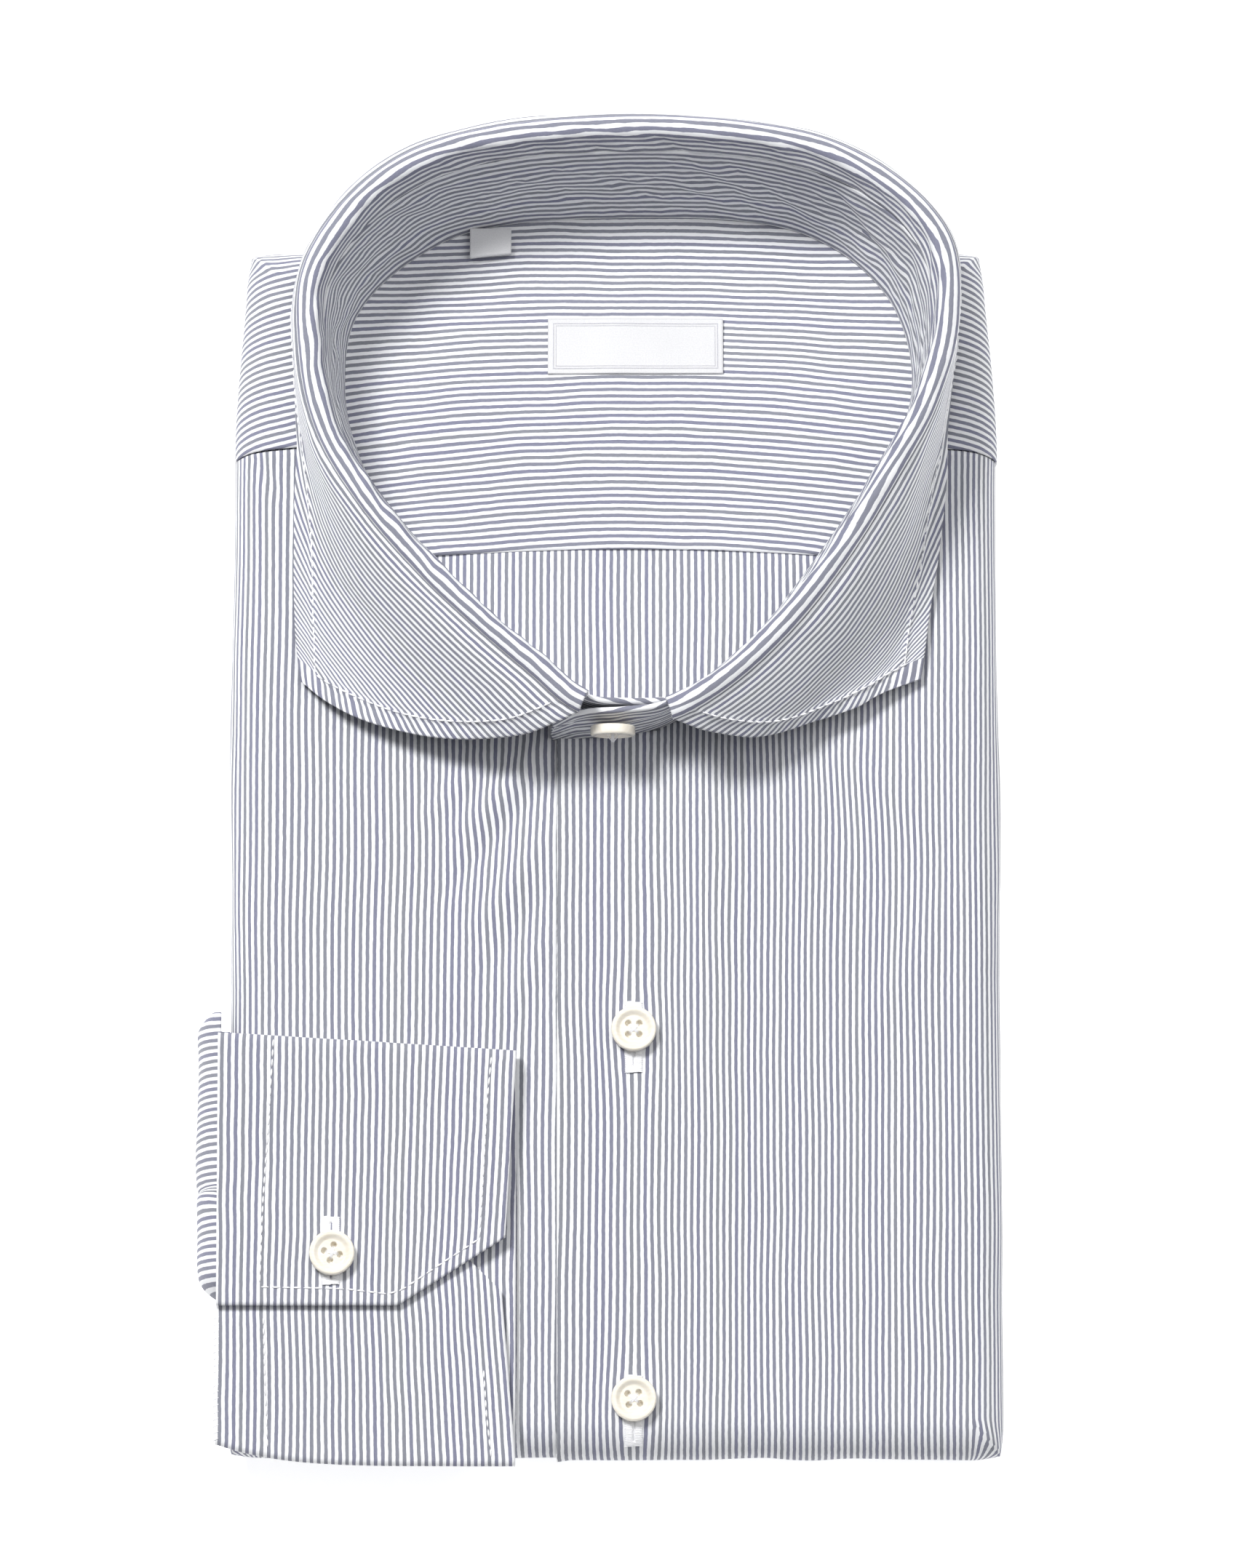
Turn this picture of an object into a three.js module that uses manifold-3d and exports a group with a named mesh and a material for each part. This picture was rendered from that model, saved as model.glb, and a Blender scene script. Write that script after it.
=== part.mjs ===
// A dress shirt folded for the shelf, front up, with its collar standing and one cuff
// brought round onto the front. Millimetres: +X to the viewer's right, +Y from the hem
// towards the collar, +Z up. The finished group stands on z = 0 with its origin at the
// middle of its underside.
//
// Every flat layer of the shirt is a sheet wrapped over one folded stack. lay() turns a
// place on the cloth, and its depth below the outermost cloth, into a point in space,
// so that layers stay parallel and never touch.

import * as THREE from 'three';
import { mergeVertices } from 'three/addons/utils/BufferGeometryUtils.js';
import Module from 'manifold-3d';

const wasm = await Module();
wasm.setup();

// ---------------------------------------------------------------- driving dimensions

const CLOTH = 1.2; // thickness of one layer
const GAP = 0.3; // air between pieces that touch
const LAYER = CLOTH + GAP;

const BODY_HALF_WIDTH = 98;
const SHOULDER_NARROWING = 3;
const HEM_Y = -153.5;
const SHOULDER_Y = 161;
const HEM_HEIGHT = 18;
const CHEST_HEIGHT = 23;
const NECK_DIP = 9; // how far the yoke sinks behind the neck

const EDGE_RADIUS = 9; // side and hem folds, seen from above
const WRAP = 27; // cloth used up by one such fold
const WRAP_ANGLE = THREE.MathUtils.degToRad(165);
const CORNER_SHARPNESS = 0.7; // 0 rounds the corners like a disc, 1 leaves them square
const SHOULDER_ANGLE_SHARE = 0.45; // the shoulder fold lies this far down the wrap

const FRONT_SEAM_Y = 107.5;
const BACK_SEAM_Y = 79;
const SEAM_SLOPE = 2.5;
const PLACKET_X = -14.6;
const UNDER_FRONT_X = 18; // hidden edge of the front that lies underneath
const PLACKET_RISE = 1.5;
const NECK_FRONT_Y = 30;

const COLLAR_WALL = 1.6;
const COLLAR_ROLL = 2.4; // radius of the fold between stand and leaf
const STAND_SHARE = 0.8; // stand height as a share of the collar's height
const SEAM_GAP = GAP + 0.2; // between stand and fall
const LEAF_BULGE = 14; // how far each leaf's front edge swells towards the hem

const CUFF_WALL = 1.5;
const CUFF_LEVELS = { back: 1.05, under: 3.05, flap: 5.05 }; // above the front
const SLEEVE_WALL = 2.4;
const SLEEVE_TOP_Y = -42;
const SLEEVE_BOTTOM_Y = -113;
const SLEEVE_REACH = 106.2;

const BUTTON_RADIUS = 5.7;
const BUTTON_HEIGHT = 2.8;

// Stations round the collar, from the end that lies underneath at the front, round the
// viewer's left and the back, to the end that lies on top. Each has a point of the
// neckline, of the collar's upper edge and, where the leaf hangs, of the leaf's edge.
const STATIONS = [
  { neck: [12, 38], top: [12, 39, 44] },
  { neck: [3, 36], top: [3, 37, 48.5] },
  { neck: [-7, 35.5], top: [-7, 35.5, 51], edge: [-80, 44.3, 25] },
  { neck: [-16, 41], top: [-18, 44.3, 52], edge: [-81, 52, 25] },
  { neck: [-27, 52], top: [-31, 55.5, 53], edge: [-81.7, 61, 25] },
  { neck: [-41, 67.5], top: [-46, 70, 53], edge: [-82, 74, 25] },
  { neck: [-54, 83.5], top: [-59.2, 85.4, 54], edge: [-82, 88, 25] },
  { neck: [-65, 101], top: [-70.3, 103.6, 54], edge: [-81.5, 105, 25] },
  { neck: [-70, 121], top: [-75, 123.4, 55], edge: [-82, 124, 25] },
  { neck: [-66.5, 144], top: [-73.5, 147.2, 55], edge: [-81, 151, 24] },
  { neck: [-45, 163.5], top: [-50.7, 172, 54], edge: [-57, 184, 17] },
  { neck: [4, 171], top: [4, 181.5, 53], edge: [4, 191, 12] },
  { neck: [50, 166.5], top: [56, 174, 54], edge: [61.5, 184, 17] },
  { neck: [70, 149], top: [79.8, 153.9, 55], edge: [87.5, 158, 24] },
  { neck: [77, 127], top: [82.3, 132.9, 55], edge: [87.2, 134, 25] },
  { neck: [73, 107], top: [76.7, 111.8, 54], edge: [85.6, 112, 25] },
  { neck: [62, 90], top: [66.7, 93, 53.5], edge: [84.8, 95, 25] },
  { neck: [50, 73], top: [55, 73.5, 53], edge: [83, 79, 25] },
  { neck: [37, 55.5], top: [41.5, 56, 52], edge: [80.5, 63, 25] },
  { neck: [24, 41.5], top: [26, 41.5, 51.5], edge: [79, 52, 25] },
  { neck: [13.5, 34], top: [13, 33.8, 51], edge: [78, 45, 25] },
  { neck: [2, 31], top: [2, 31.8, 47.5] },
  { neck: [-8, 30.3], top: [-8, 31, 45] },
  { neck: [-16.3, 30], top: [-16, 30.6, 41] },
];
const LEAF_FROM = 2; // first and last stations that carry the leaf
const LEAF_TO = 20;

const FRONT_BUTTONS = [
  [4.8, -46],
  [4.8, -140.2],
];
const CUFF_BUTTON = [-71.2, -104];
const COLLAR_BUTTON = [-0.5, 38];
const TAPE = 0.9;
const LABEL = { left: -17.3, right: 27.8, bottom: 127, top: 142.5, lift: 0 };
const TAB = { left: -37.5, right: -26.8, bottom: 156.5, top: 164.6, lift: 1.4 };

// ------------------------------------------------------------------------- materials

const finish = (color, roughness) =>
  new THREE.MeshStandardMaterial({ color, roughness, metalness: 0 });
const stripedCotton = () => finish(0xc6cad4, 0.85);
const shell = () => finish(0xf0e8d6, 0.3);
const whiteSatin = () => finish(0xf7f7f5, 0.6);

// --------------------------------------------------------------------- small helpers

const { lerp, clamp } = THREE.MathUtils;
const smooth = (share) => THREE.MathUtils.smoothstep(share, 0, 1);

// Evenly spaced values from start to end, both included.
function spaced(start, end, steps) {
  return Array.from({ length: steps + 1 }, (_, step) => lerp(start, end, step / steps));
}

// A closed solid from a grid of cells. place(column, row, side) gives a point on the
// right side (0) or the wrong side (1) of the cloth; has(column, row) leaves cells out.
// Each cell is split along its rising diagonal, and from column mirrorFrom on along the
// falling one, so that the facets of neighbouring layers stay parallel.
function sheet(columns, rows, place, has = () => true, mirrorFrom = Infinity) {
  const positions = [];
  const numbers = new Map();
  const number = (column, row, side) => {
    const key = `${column},${row},${side}`;
    if (!numbers.has(key)) {
      numbers.set(key, positions.length / 3);
      positions.push(...place(column, row, side).toArray());
    }
    return numbers.get(key);
  };
  const filled = (column, row) =>
    column >= 0 && column < columns && row >= 0 && row < rows && has(column, row);
  const index = [];
  const quad = (a, b, c, d) => index.push(a, b, c, a, c, d);

  for (let column = 0; column < columns; column += 1) {
    for (let row = 0; row < rows; row += 1) {
      if (!filled(column, row)) continue;
      const corners = [
        [column, row],
        [column + 1, row],
        [column + 1, row + 1],
        [column, row + 1],
      ];
      const right = corners.map(([c, r]) => number(c, r, 0));
      const wrong = corners.map(([c, r]) => number(c, r, 1));
      if (column < mirrorFrom) {
        quad(right[0], right[1], right[2], right[3]);
        quad(wrong[0], wrong[3], wrong[2], wrong[1]);
      } else {
        quad(right[1], right[2], right[3], right[0]);
        quad(wrong[1], wrong[0], wrong[3], wrong[2]);
      }
      const neighbours = [
        [column, row - 1],
        [column + 1, row],
        [column, row + 1],
        [column - 1, row],
      ];
      neighbours.forEach(([c, r], side) => {
        if (filled(c, r)) return;
        const next = (side + 1) % 4;
        quad(right[next], right[side], wrong[side], wrong[next]);
      });
    }
  }
  return outward(positions, index);
}

// An indexed geometry whose faces point out, whichever way the grid ran.
function outward(positions, index) {
  const corner = (number) => new THREE.Vector3().fromArray(positions, 3 * number);
  let volume = 0;
  for (let at = 0; at < index.length; at += 3) {
    const [a, b, c] = [corner(index[at]), corner(index[at + 1]), corner(index[at + 2])];
    volume += a.dot(b.cross(c));
  }
  if (volume < 0) index.reverse();
  const geometry = new THREE.BufferGeometry();
  geometry.setAttribute('position', new THREE.Float32BufferAttribute(positions, 3));
  geometry.setIndex(index);
  geometry.computeVertexNormals();
  return geometry;
}

// A wall of even thickness about a middle surface. middle(across, along) is a point for
// parameters in 0..1, and the wall grows half its thickness each way along the normal.
function wall(columns, rows, middle, thickness, has) {
  const step = 1e-3;
  const place = (column, row, side) => {
    const across = column / columns;
    const along = row / rows;
    const [left, right] = [Math.max(0, across - step), Math.min(1, across + step)];
    const [low, high] = [Math.max(0, along - step), Math.min(1, along + step)];
    const tangentAcross = middle(right, along).sub(middle(left, along));
    const tangentAlong = middle(across, high).sub(middle(across, low));
    const normal = tangentAcross.cross(tangentAlong).normalize();
    const away = side === 0 ? thickness / 2 : -thickness / 2;
    return middle(across, along).addScaledVector(normal, away);
  };
  return sheet(columns, rows, place, has);
}

function toManifold(geometry) {
  const bare = geometry.clone();
  bare.deleteAttribute('normal');
  bare.deleteAttribute('uv');
  const merged = mergeVertices(bare);
  return new wasm.Manifold(
    new wasm.Mesh({
      numProp: 3,
      vertProperties: new Float32Array(merged.attributes.position.array),
      triVerts: new Uint32Array(merged.index.array),
    }),
  );
}

function fromManifold(solid) {
  const mesh = solid.getMesh();
  const geometry = new THREE.BufferGeometry();
  geometry.setAttribute('position', new THREE.BufferAttribute(mesh.vertProperties, 3));
  geometry.setIndex(new THREE.BufferAttribute(mesh.triVerts, 1));
  geometry.computeVertexNormals();
  return geometry;
}

// ------------------------------------------------------------------ the folded stack

const HEM_FLAT_Y = HEM_Y + EDGE_RADIUS; // the hem's wrap begins here
const SHOULDER_FLAT_Y = SHOULDER_Y - EDGE_RADIUS;

// Height of the outermost cloth above the table, away from the folded edges.
function stackHeight(x, y) {
  const rise = smooth((y - HEM_Y) / 175);
  const towardsNeck = smooth((y - 110) / 58) * (1 - smooth((Math.abs(x) - 50) / 35));
  return lerp(HEM_HEIGHT, CHEST_HEIGHT, rise) - NECK_DIP * towardsNeck;
}

// Half width of the flat top, which narrows a little over the shoulders.
function flatHalfWidth(y) {
  return BODY_HALF_WIDTH - EDGE_RADIUS - SHOULDER_NARROWING * smooth((y - FRONT_SEAM_Y) / 55);
}

// u runs across the cloth from the centre front and v along it; beyond the flat top they
// count cloth that has gone round a folded edge. topFlatY is where the upper end turns.
function lay(u, v, depth, { rise = 0, topFlatY = SHOULDER_FLAT_Y } = {}) {
  const flat = flatHalfWidth(v);
  const side = clamp((Math.abs(u) - flat) / WRAP, 0, 1);
  const hem = clamp((HEM_FLAT_Y - v) / WRAP, 0, 1);
  const top = clamp((v - topFlatY) / WRAP, 0, 1);
  const end = Math.max(hem, top);
  // The square of side and end wraps maps onto a disc, which rounds the corners off.
  const sideShare = side * Math.sqrt(1 - (end * end) / 2);
  const endShare = end * Math.sqrt(1 - (side * side) / 2);
  const turn = Math.hypot(sideShare, endShare);
  const angle = turn * WRAP_ANGLE;
  const lifted = depth - rise * (0.5 + 0.5 * Math.cos(angle));
  const squareness = turn > 0 ? (turn / Math.max(sideShare, endShare)) ** CORNER_SHARPNESS : 1;
  const reach = turn > 0 ? (squareness * (EDGE_RADIUS - lifted) * Math.sin(angle)) / turn : 0;
  const x = Math.sign(u) * (Math.min(Math.abs(u), flat) + reach * sideShare);
  const y = clamp(v, HEM_FLAT_Y, topFlatY) + (top > hem ? reach : -reach) * endShare;
  const middle = stackHeight(x, y) / 2;
  return new THREE.Vector3(x, y, middle + (middle - lifted) * Math.cos(angle));
}

// How far the over front stands up where it covers the under front.
function placketRise(x, y) {
  const nearNeck = clamp(1 - (y - NECK_FRONT_Y) / 20, 0, 1);
  return PLACKET_RISE * nearNeck * (1 - smooth((x - 20) / 18));
}

// Rows that run round the hem and up the flat of the body to endY.
const HEM_STEPS = 6;
function bodyRows(endY, steps) {
  const hem = spaced(HEM_FLAT_Y - WRAP, HEM_FLAT_Y, HEM_STEPS);
  return [...hem, ...spaced(HEM_FLAT_Y, endY, steps).slice(1)];
}

const SIDE_STEPS = 6;

// The seam between yoke and fronts drops a little towards the sides.
const seamDrop = (u) => SEAM_SLOPE * clamp((Math.abs(u) - 70) / 28, 0, 1);

// ---------------------------------------------------------------- the collar's curves

const curveOf = (points) => new THREE.CatmullRomCurve3(points, false, 'centripetal');
const neckCurve = curveOf(STATIONS.map(({ neck }) => new THREE.Vector3(neck[0], neck[1], 0)));
const topCurve = curveOf(STATIONS.map(({ top }) => new THREE.Vector3(...top)));
const edgeCurve = curveOf(
  STATIONS.slice(LEAF_FROM, LEAF_TO + 1).map(({ edge }) => new THREE.Vector3(...edge)),
);

// The neckline as fine points, cut into its two sides and its curve behind the neck.
const NECK_BACK = 11; // the station at the centre back
const NECK_BACK_FROM_Y = 140;
const NECK_INSET = 1.5; // the fronts reach this far in under the stand
const NECK_SAMPLES = 460;
const neckPoints = spaced(0, 1, NECK_SAMPLES).map((share) => neckCurve.getPoint(share));
const sampleAt = (station) => Math.round((station / (STATIONS.length - 1)) * NECK_SAMPLES);
const leftOfNeck = neckPoints.slice(sampleAt(LEAF_FROM), sampleAt(NECK_BACK) + 1);
const rightOfNeck = neckPoints.slice(sampleAt(NECK_BACK), sampleAt(LEAF_TO) + 1);
const behindNeck = neckPoints.filter((point) => point.y > NECK_BACK_FROM_Y);

// The point whose coordinate on an axis comes nearest to a value.
function nearest(points, axis, value) {
  const away = (point) => Math.abs(point[axis] - value);
  return points.reduce((best, point) => (away(point) < away(best) ? point : best));
}

const neckX = (sign, y) => nearest(sign < 0 ? leftOfNeck : rightOfNeck, 'y', y).x;
const neckBackY = (x) => nearest(behindNeck, 'x', x).y;

// ----------------------------------------------------------------------- flat pieces

// The under front (viewer's left, sign -1) and the over front (viewer's right, sign 1).
// Columns run from the wrapped side to the neck, then across the overlap below the neck.
function front(sign) {
  const over = sign > 0;
  const neckRowY = over ? NECK_FRONT_Y : NECK_FRONT_Y + 4;
  const flatRows = 9;
  const neckRows = 5;
  const aboveNeck = spaced(neckRowY, FRONT_SEAM_Y - GAP, neckRows).slice(1);
  const rows = [...bodyRows(neckRowY, flatRows), ...aboveNeck];
  const lastOverlapRow = HEM_STEPS + flatRows;
  const mainSteps = 5;
  const overlapXs = over ? [16, 0, PLACKET_X] : [-15, 2, UNDER_FRONT_X];
  const mainColumns = SIDE_STEPS + mainSteps;

  const place = (column, row, side) => {
    const v = rows[row];
    const flat = flatHalfWidth(v);
    const inner = v <= neckRowY ? overlapXs[0] : neckX(sign, v) - sign * NECK_INSET;
    let u;
    if (column <= SIDE_STEPS) u = sign * (flat + WRAP * (1 - column / SIDE_STEPS));
    else if (column <= mainColumns) u = lerp(sign * flat, inner, (column - SIDE_STEPS) / mainSteps);
    else u = overlapXs[column - mainColumns];
    const drop = row === rows.length - 1 ? seamDrop(u) : 0;
    const rise = over ? placketRise(u, v) : 0;
    return lay(u, v - drop, side * CLOTH, { rise });
  };
  const firstOverlapRow = over ? 0 : HEM_STEPS;
  const has = (column, row) =>
    column < mainColumns || (row >= firstOverlapRow && row < lastOverlapRow);
  return sheet(mainColumns + 2, rows.length - 1, place, has);
}

// The back, inside up under the fronts: it shows through the neck below the yoke.
function backPanel() {
  const rows = bodyRows(BACK_SEAM_Y - GAP, 9);
  const flatSteps = 10;
  const place = (column, row, side) => {
    const flat = flatHalfWidth(rows[row]);
    const fromLeft = column - SIDE_STEPS;
    let u = lerp(-flat, flat, clamp(fromLeft / flatSteps, 0, 1));
    if (fromLeft < 0) u = -flat + (WRAP * fromLeft) / SIDE_STEPS;
    if (fromLeft > flatSteps) u = flat + (WRAP * (fromLeft - flatSteps)) / SIDE_STEPS;
    return lay(u, rows[row], LAYER + side * CLOTH);
  };
  const columns = flatSteps + 2 * SIDE_STEPS;
  return sheet(columns, rows.length - 1, place, () => true, columns / 2);
}

// The yoke: a strip over each shoulder, folded at the top, and one layer behind the neck.
function yoke() {
  const stripSteps = 3;
  const centreSteps = 8;
  const upperRows = 4;
  const foldRows = 4;
  const lowerRows = 5;
  const firstCentre = SIDE_STEPS + stripSteps;
  const lastCentre = firstCentre + centreSteps;
  const shoulderV = SHOULDER_FLAT_Y + WRAP * SHOULDER_ANGLE_SHARE;
  const foldMiddle = CLOTH + GAP / 2;
  const behindStand = 1; // the turn lies this far behind the neckline
  const blend = 24; // width over which the turn runs from the neckline to the shoulder
  const flatWithin = 78; // nearer the centre the cloth lies flat further back
  const followNeckFromY = 100;
  const innerX = (sign, y) => neckX(sign, y) - sign * NECK_INSET;

  // The cloth's upper turn: over the shoulder at the sides, the neckline in the middle.
  const foldV = (u) => {
    const corner = Math.abs(innerX(u < 0 ? -1 : 1, SHOULDER_Y));
    if (Math.abs(u) < corner) return neckBackY(u) + behindStand;
    const atCorner = neckBackY(Math.sign(u) * corner) + behindStand;
    return lerp(atCorner, shoulderV, smooth((Math.abs(u) - corner) / blend));
  };
  const topFlatY = (u) => SHOULDER_FLAT_Y + Math.max(0, flatWithin - Math.abs(u));

  const place = (column, row, side) => {
    const lowerShare = clamp(1 - (row - upperRows - foldRows) / lowerRows, 0, 1);
    const upperShare = row <= upperRows ? row / upperRows : lowerShare;
    const startY = row <= upperRows ? FRONT_SEAM_Y : BACK_SEAM_Y;
    const rowY = Math.min(lerp(startY, SHOULDER_Y, upperShare), SHOULDER_Y);
    const flat = flatHalfWidth(rowY);
    const inner = [-1, 1].map((sign) => innerX(sign, Math.max(rowY, followNeckFromY)));
    let u;
    if (column <= SIDE_STEPS) u = -flat - WRAP * (1 - column / SIDE_STEPS);
    else if (column <= firstCentre) u = lerp(-flat, inner[0], (column - SIDE_STEPS) / stripSteps);
    else if (column <= lastCentre) u = lerp(inner[0], inner[1], (column - firstCentre) / centreSteps);
    else if (column <= lastCentre + stripSteps)
      u = lerp(inner[1], flat, (column - lastCentre) / stripSteps);
    else u = flat + (WRAP * (column - lastCentre - stripSteps)) / SIDE_STEPS;

    const fold = foldV(u);
    const options = { topFlatY: topFlatY(u) };
    if (row <= upperRows) {
      const v = lerp(FRONT_SEAM_Y - seamDrop(u), fold, row / upperRows);
      return lay(u, v, side * CLOTH, options);
    }
    if (row < upperRows + foldRows) {
      const angle = (Math.PI * (row - upperRows)) / foldRows;
      const radius = side === 0 ? foldMiddle : GAP / 2;
      return lay(u, fold + radius * Math.sin(angle), foldMiddle - radius * Math.cos(angle), options);
    }
    const share = (row - upperRows - foldRows) / lowerRows;
    return lay(u, lerp(fold, BACK_SEAM_Y, share), LAYER + (1 - side) * CLOTH, options);
  };
  const has = (column, row) =>
    row >= upperRows + foldRows || column < firstCentre || column >= lastCentre;
  const columns = lastCentre + stripSteps + SIDE_STEPS;
  return sheet(columns, upperRows + foldRows + lowerRows, place, has, columns / 2);
}

// Everything folded out of sight, as one rounded solid with a flat underside. Its end
// behind the collar is ridged, where the edges of the hidden layers lie on each other.
function foldedCore() {
  const depth = 2 * LAYER;
  const ridge = 0.8;
  const drawnIn = 0.03; // the foot is this much smaller than the rim in width
  const endY = SHOULDER_FLAT_Y - 4;
  const topSteps = 8;
  const rows = [...bodyRows(endY, 10), ...spaced(endY, endY + WRAP, topSteps).slice(1)];
  const flatSteps = 12;
  const columns = flatSteps + 2 * SIDE_STEPS;
  const firstEndRow = rows.length - topSteps;

  const upper = (column, row) => {
    const flat = flatHalfWidth(rows[row]);
    const fromLeft = column - SIDE_STEPS;
    let u = lerp(-flat, flat, clamp(fromLeft / flatSteps, 0, 1));
    if (fromLeft < 0) u = -flat + (WRAP * fromLeft) / SIDE_STEPS;
    if (fromLeft > flatSteps) u = flat + (WRAP * (fromLeft - flatSteps)) / SIDE_STEPS;
    const groove = row >= firstEndRow && (row - firstEndRow) % 2 === 0 ? ridge : 0;
    const underYoke = 1.2 * smooth((rows[row] - BACK_SEAM_Y) / 25);
    return lay(u, rows[row], depth + underYoke + groove, { topFlatY: endY });
  };

  const positions = [];
  const index = [];
  const number = (column, row) => row * (columns + 1) + column;
  for (let row = 0; row < rows.length; row += 1) {
    for (let column = 0; column <= columns; column += 1) {
      positions.push(...upper(column, row).toArray());
    }
  }
  for (let row = 0; row < rows.length - 1; row += 1) {
    for (let column = 0; column < columns; column += 1) {
      const [a, b] = [number(column, row), number(column + 1, row)];
      const [c, d] = [number(column + 1, row + 1), number(column, row + 1)];
      if (column < columns / 2) index.push(a, b, c, a, c, d);
      else index.push(a, b, d, b, c, d);
    }
  }
  // The open lower rim is drawn in a little, taken down to the table and closed flat.
  const rim = [];
  for (let column = 0; column < columns; column += 1) rim.push(number(column, 0));
  for (let row = 0; row < rows.length - 1; row += 1) rim.push(number(columns, row));
  for (let column = columns; column > 0; column -= 1) rim.push(number(column, rows.length - 1));
  for (let row = rows.length - 1; row > 0; row -= 1) rim.push(number(0, row));
  const foot = rim.map((at) => {
    const [x, y] = [positions[3 * at], positions[3 * at + 1]];
    positions.push(x * (1 - drawnIn), y * (1 - 0.8 * drawnIn), 0);
    return positions.length / 3 - 1;
  });
  positions.push(0, 0, 0);
  const centre = positions.length / 3 - 1;
  rim.forEach((at, step) => {
    const next = (step + 1) % rim.length;
    index.push(rim[next], at, foot[step], rim[next], foot[step], foot[next]);
    index.push(foot[next], foot[step], centre);
  });
  return outward(positions, index);
}

// ------------------------------------------------------------------------ the collar

// The stand's lower edge rests on the shirt; behind the neck it follows the lower layer.
function standFoot(x, y) {
  const behind = y > 150 ? smooth((43 - Math.abs(x)) / 20) : 0;
  const onYoke = 4 * GAP * smooth((y - 90) / 30);
  return stackHeight(x, y) + GAP + onYoke + placketRise(Math.abs(x), y) - LAYER * behind;
}

function collarStand() {
  const middle = (across, along) => {
    const neck = neckCurve.getPoint(across);
    const foot = new THREE.Vector3(neck.x, neck.y, standFoot(neck.x, neck.y));
    return foot.lerp(topCurve.getPoint(across), along * STAND_SHARE);
  };
  return wall(50, 2, middle, COLLAR_WALL);
}

// The fall: up from the stand's upper edge on the inside, over the roll, down the leaf.
function collarFall() {
  const rollRows = 5;
  const leafRows = 6;
  const flatStart = 0.6; // 0 makes the leaf a straight slope, 1 lets it leave the roll level
  const steepMiddle = 0.8;
  const frontShare = 0.34; // share of the collar's run over which each front swells
  const rows = 1 + rollRows + leafRows;
  const span = (LEAF_TO - LEAF_FROM) / (STATIONS.length - 1);
  const start = LEAF_FROM / (STATIONS.length - 1);

  const middle = (across, along) => {
    const share = start + span * across;
    const neck = neckCurve.getPoint(share);
    const top = topCurve.getPoint(share);
    const edge = edgeCurve.getPoint(across);
    const out = new THREE.Vector3(edge.x - top.x, edge.y - top.y, 0).normalize();
    const foot = new THREE.Vector3(neck.x, neck.y, standFoot(neck.x, neck.y));
    const seam = foot.lerp(top, STAND_SHARE).add(new THREE.Vector3(0, 0, SEAM_GAP));
    const rollFoot = top.clone().add(new THREE.Vector3(0, 0, -COLLAR_ROLL));
    const at = along * rows;
    if (at <= 1) return seam.lerp(rollFoot, at);
    if (at <= 1 + rollRows) {
      const angle = (Math.PI * (at - 1)) / rollRows;
      return rollFoot
        .addScaledVector(out, COLLAR_ROLL * (1 - Math.cos(angle)))
        .add(new THREE.Vector3(0, 0, COLLAR_ROLL * Math.sin(angle)));
    }
    const down = (at - 1 - rollRows) / leafRows;
    const wave = Math.sin(2 * Math.PI * down) / (2 * Math.PI);
    const leafTop = rollFoot.addScaledVector(out, 2 * COLLAR_ROLL);
    const point = new THREE.Vector3().lerpVectors(leafTop, edge, down + flatStart * wave);
    point.z = lerp(leafTop.z, edge.z, down - steepMiddle * wave);
    const nearFront = clamp(1 - Math.min(across, 1 - across) / frontShare, 0, 1);
    point.y -= LEAF_BULGE * nearFront ** 2 * Math.sin(Math.PI * down) ** 0.7;
    return point;
  };
  return wall(38, rows, middle, COLLAR_WALL);
}

// ------------------------------------------------------------------ sleeve and cuff

// The sleeve, flattened: from the cuff's edge, out round the shirt's side fold and in
// again on the table. Its lower end is rounded off where it turns under.
function sleeve() {
  const endFrom = 0.86; // from here on the lower end is rounded off
  const endDrawnIn = 2.2;
  const [topX, footX] = [101.6, 98.2]; // where the turn starts and ends
  const topLift = 4; // above the front
  const footZ = SLEEVE_WALL / 2 + 0.1;
  const middle = (across, along) => {
    const y = lerp(SLEEVE_TOP_Y, SLEEVE_BOTTOM_Y, across);
    const end = clamp((across - endFrom) / (1 - endFrom), 0, 1);
    const reach = SLEEVE_REACH - SLEEVE_WALL / 2 - endDrawnIn * end * end;
    const topZ = stackHeight(-BODY_HALF_WIDTH, y) + topLift;
    const angle = Math.PI * along;
    const innerX = lerp(topX, footX, along);
    return new THREE.Vector3(
      -(innerX + (reach - innerX) * Math.sin(angle)),
      y,
      lerp(footZ, topZ, 0.5 + 0.5 * Math.cos(angle)),
    );
  };
  return wall(8, 9, middle, SLEEVE_WALL);
}

// The barrel cuff, one strip spiralled flat: the flap, over the top fold, down the back
// layer, up round the bottom fold, and the underlap that ends beneath the flap.
const CUFF_LEFT = -100.4;
const CUFF_RIGHT = -25;
const cuffTopY = (x) => lerp(-46.7, -51.4, (x - CUFF_LEFT) / (CUFF_RIGHT - CUFF_LEFT));
const cuffBottomY = (x) => -157.4 + 6 * clamp((CUFF_RIGHT - x) / 75, 0, 1) ** 3;
const flapEndY = (x) => -117 + Math.max(0, x + 53) * 0.62;

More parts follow.
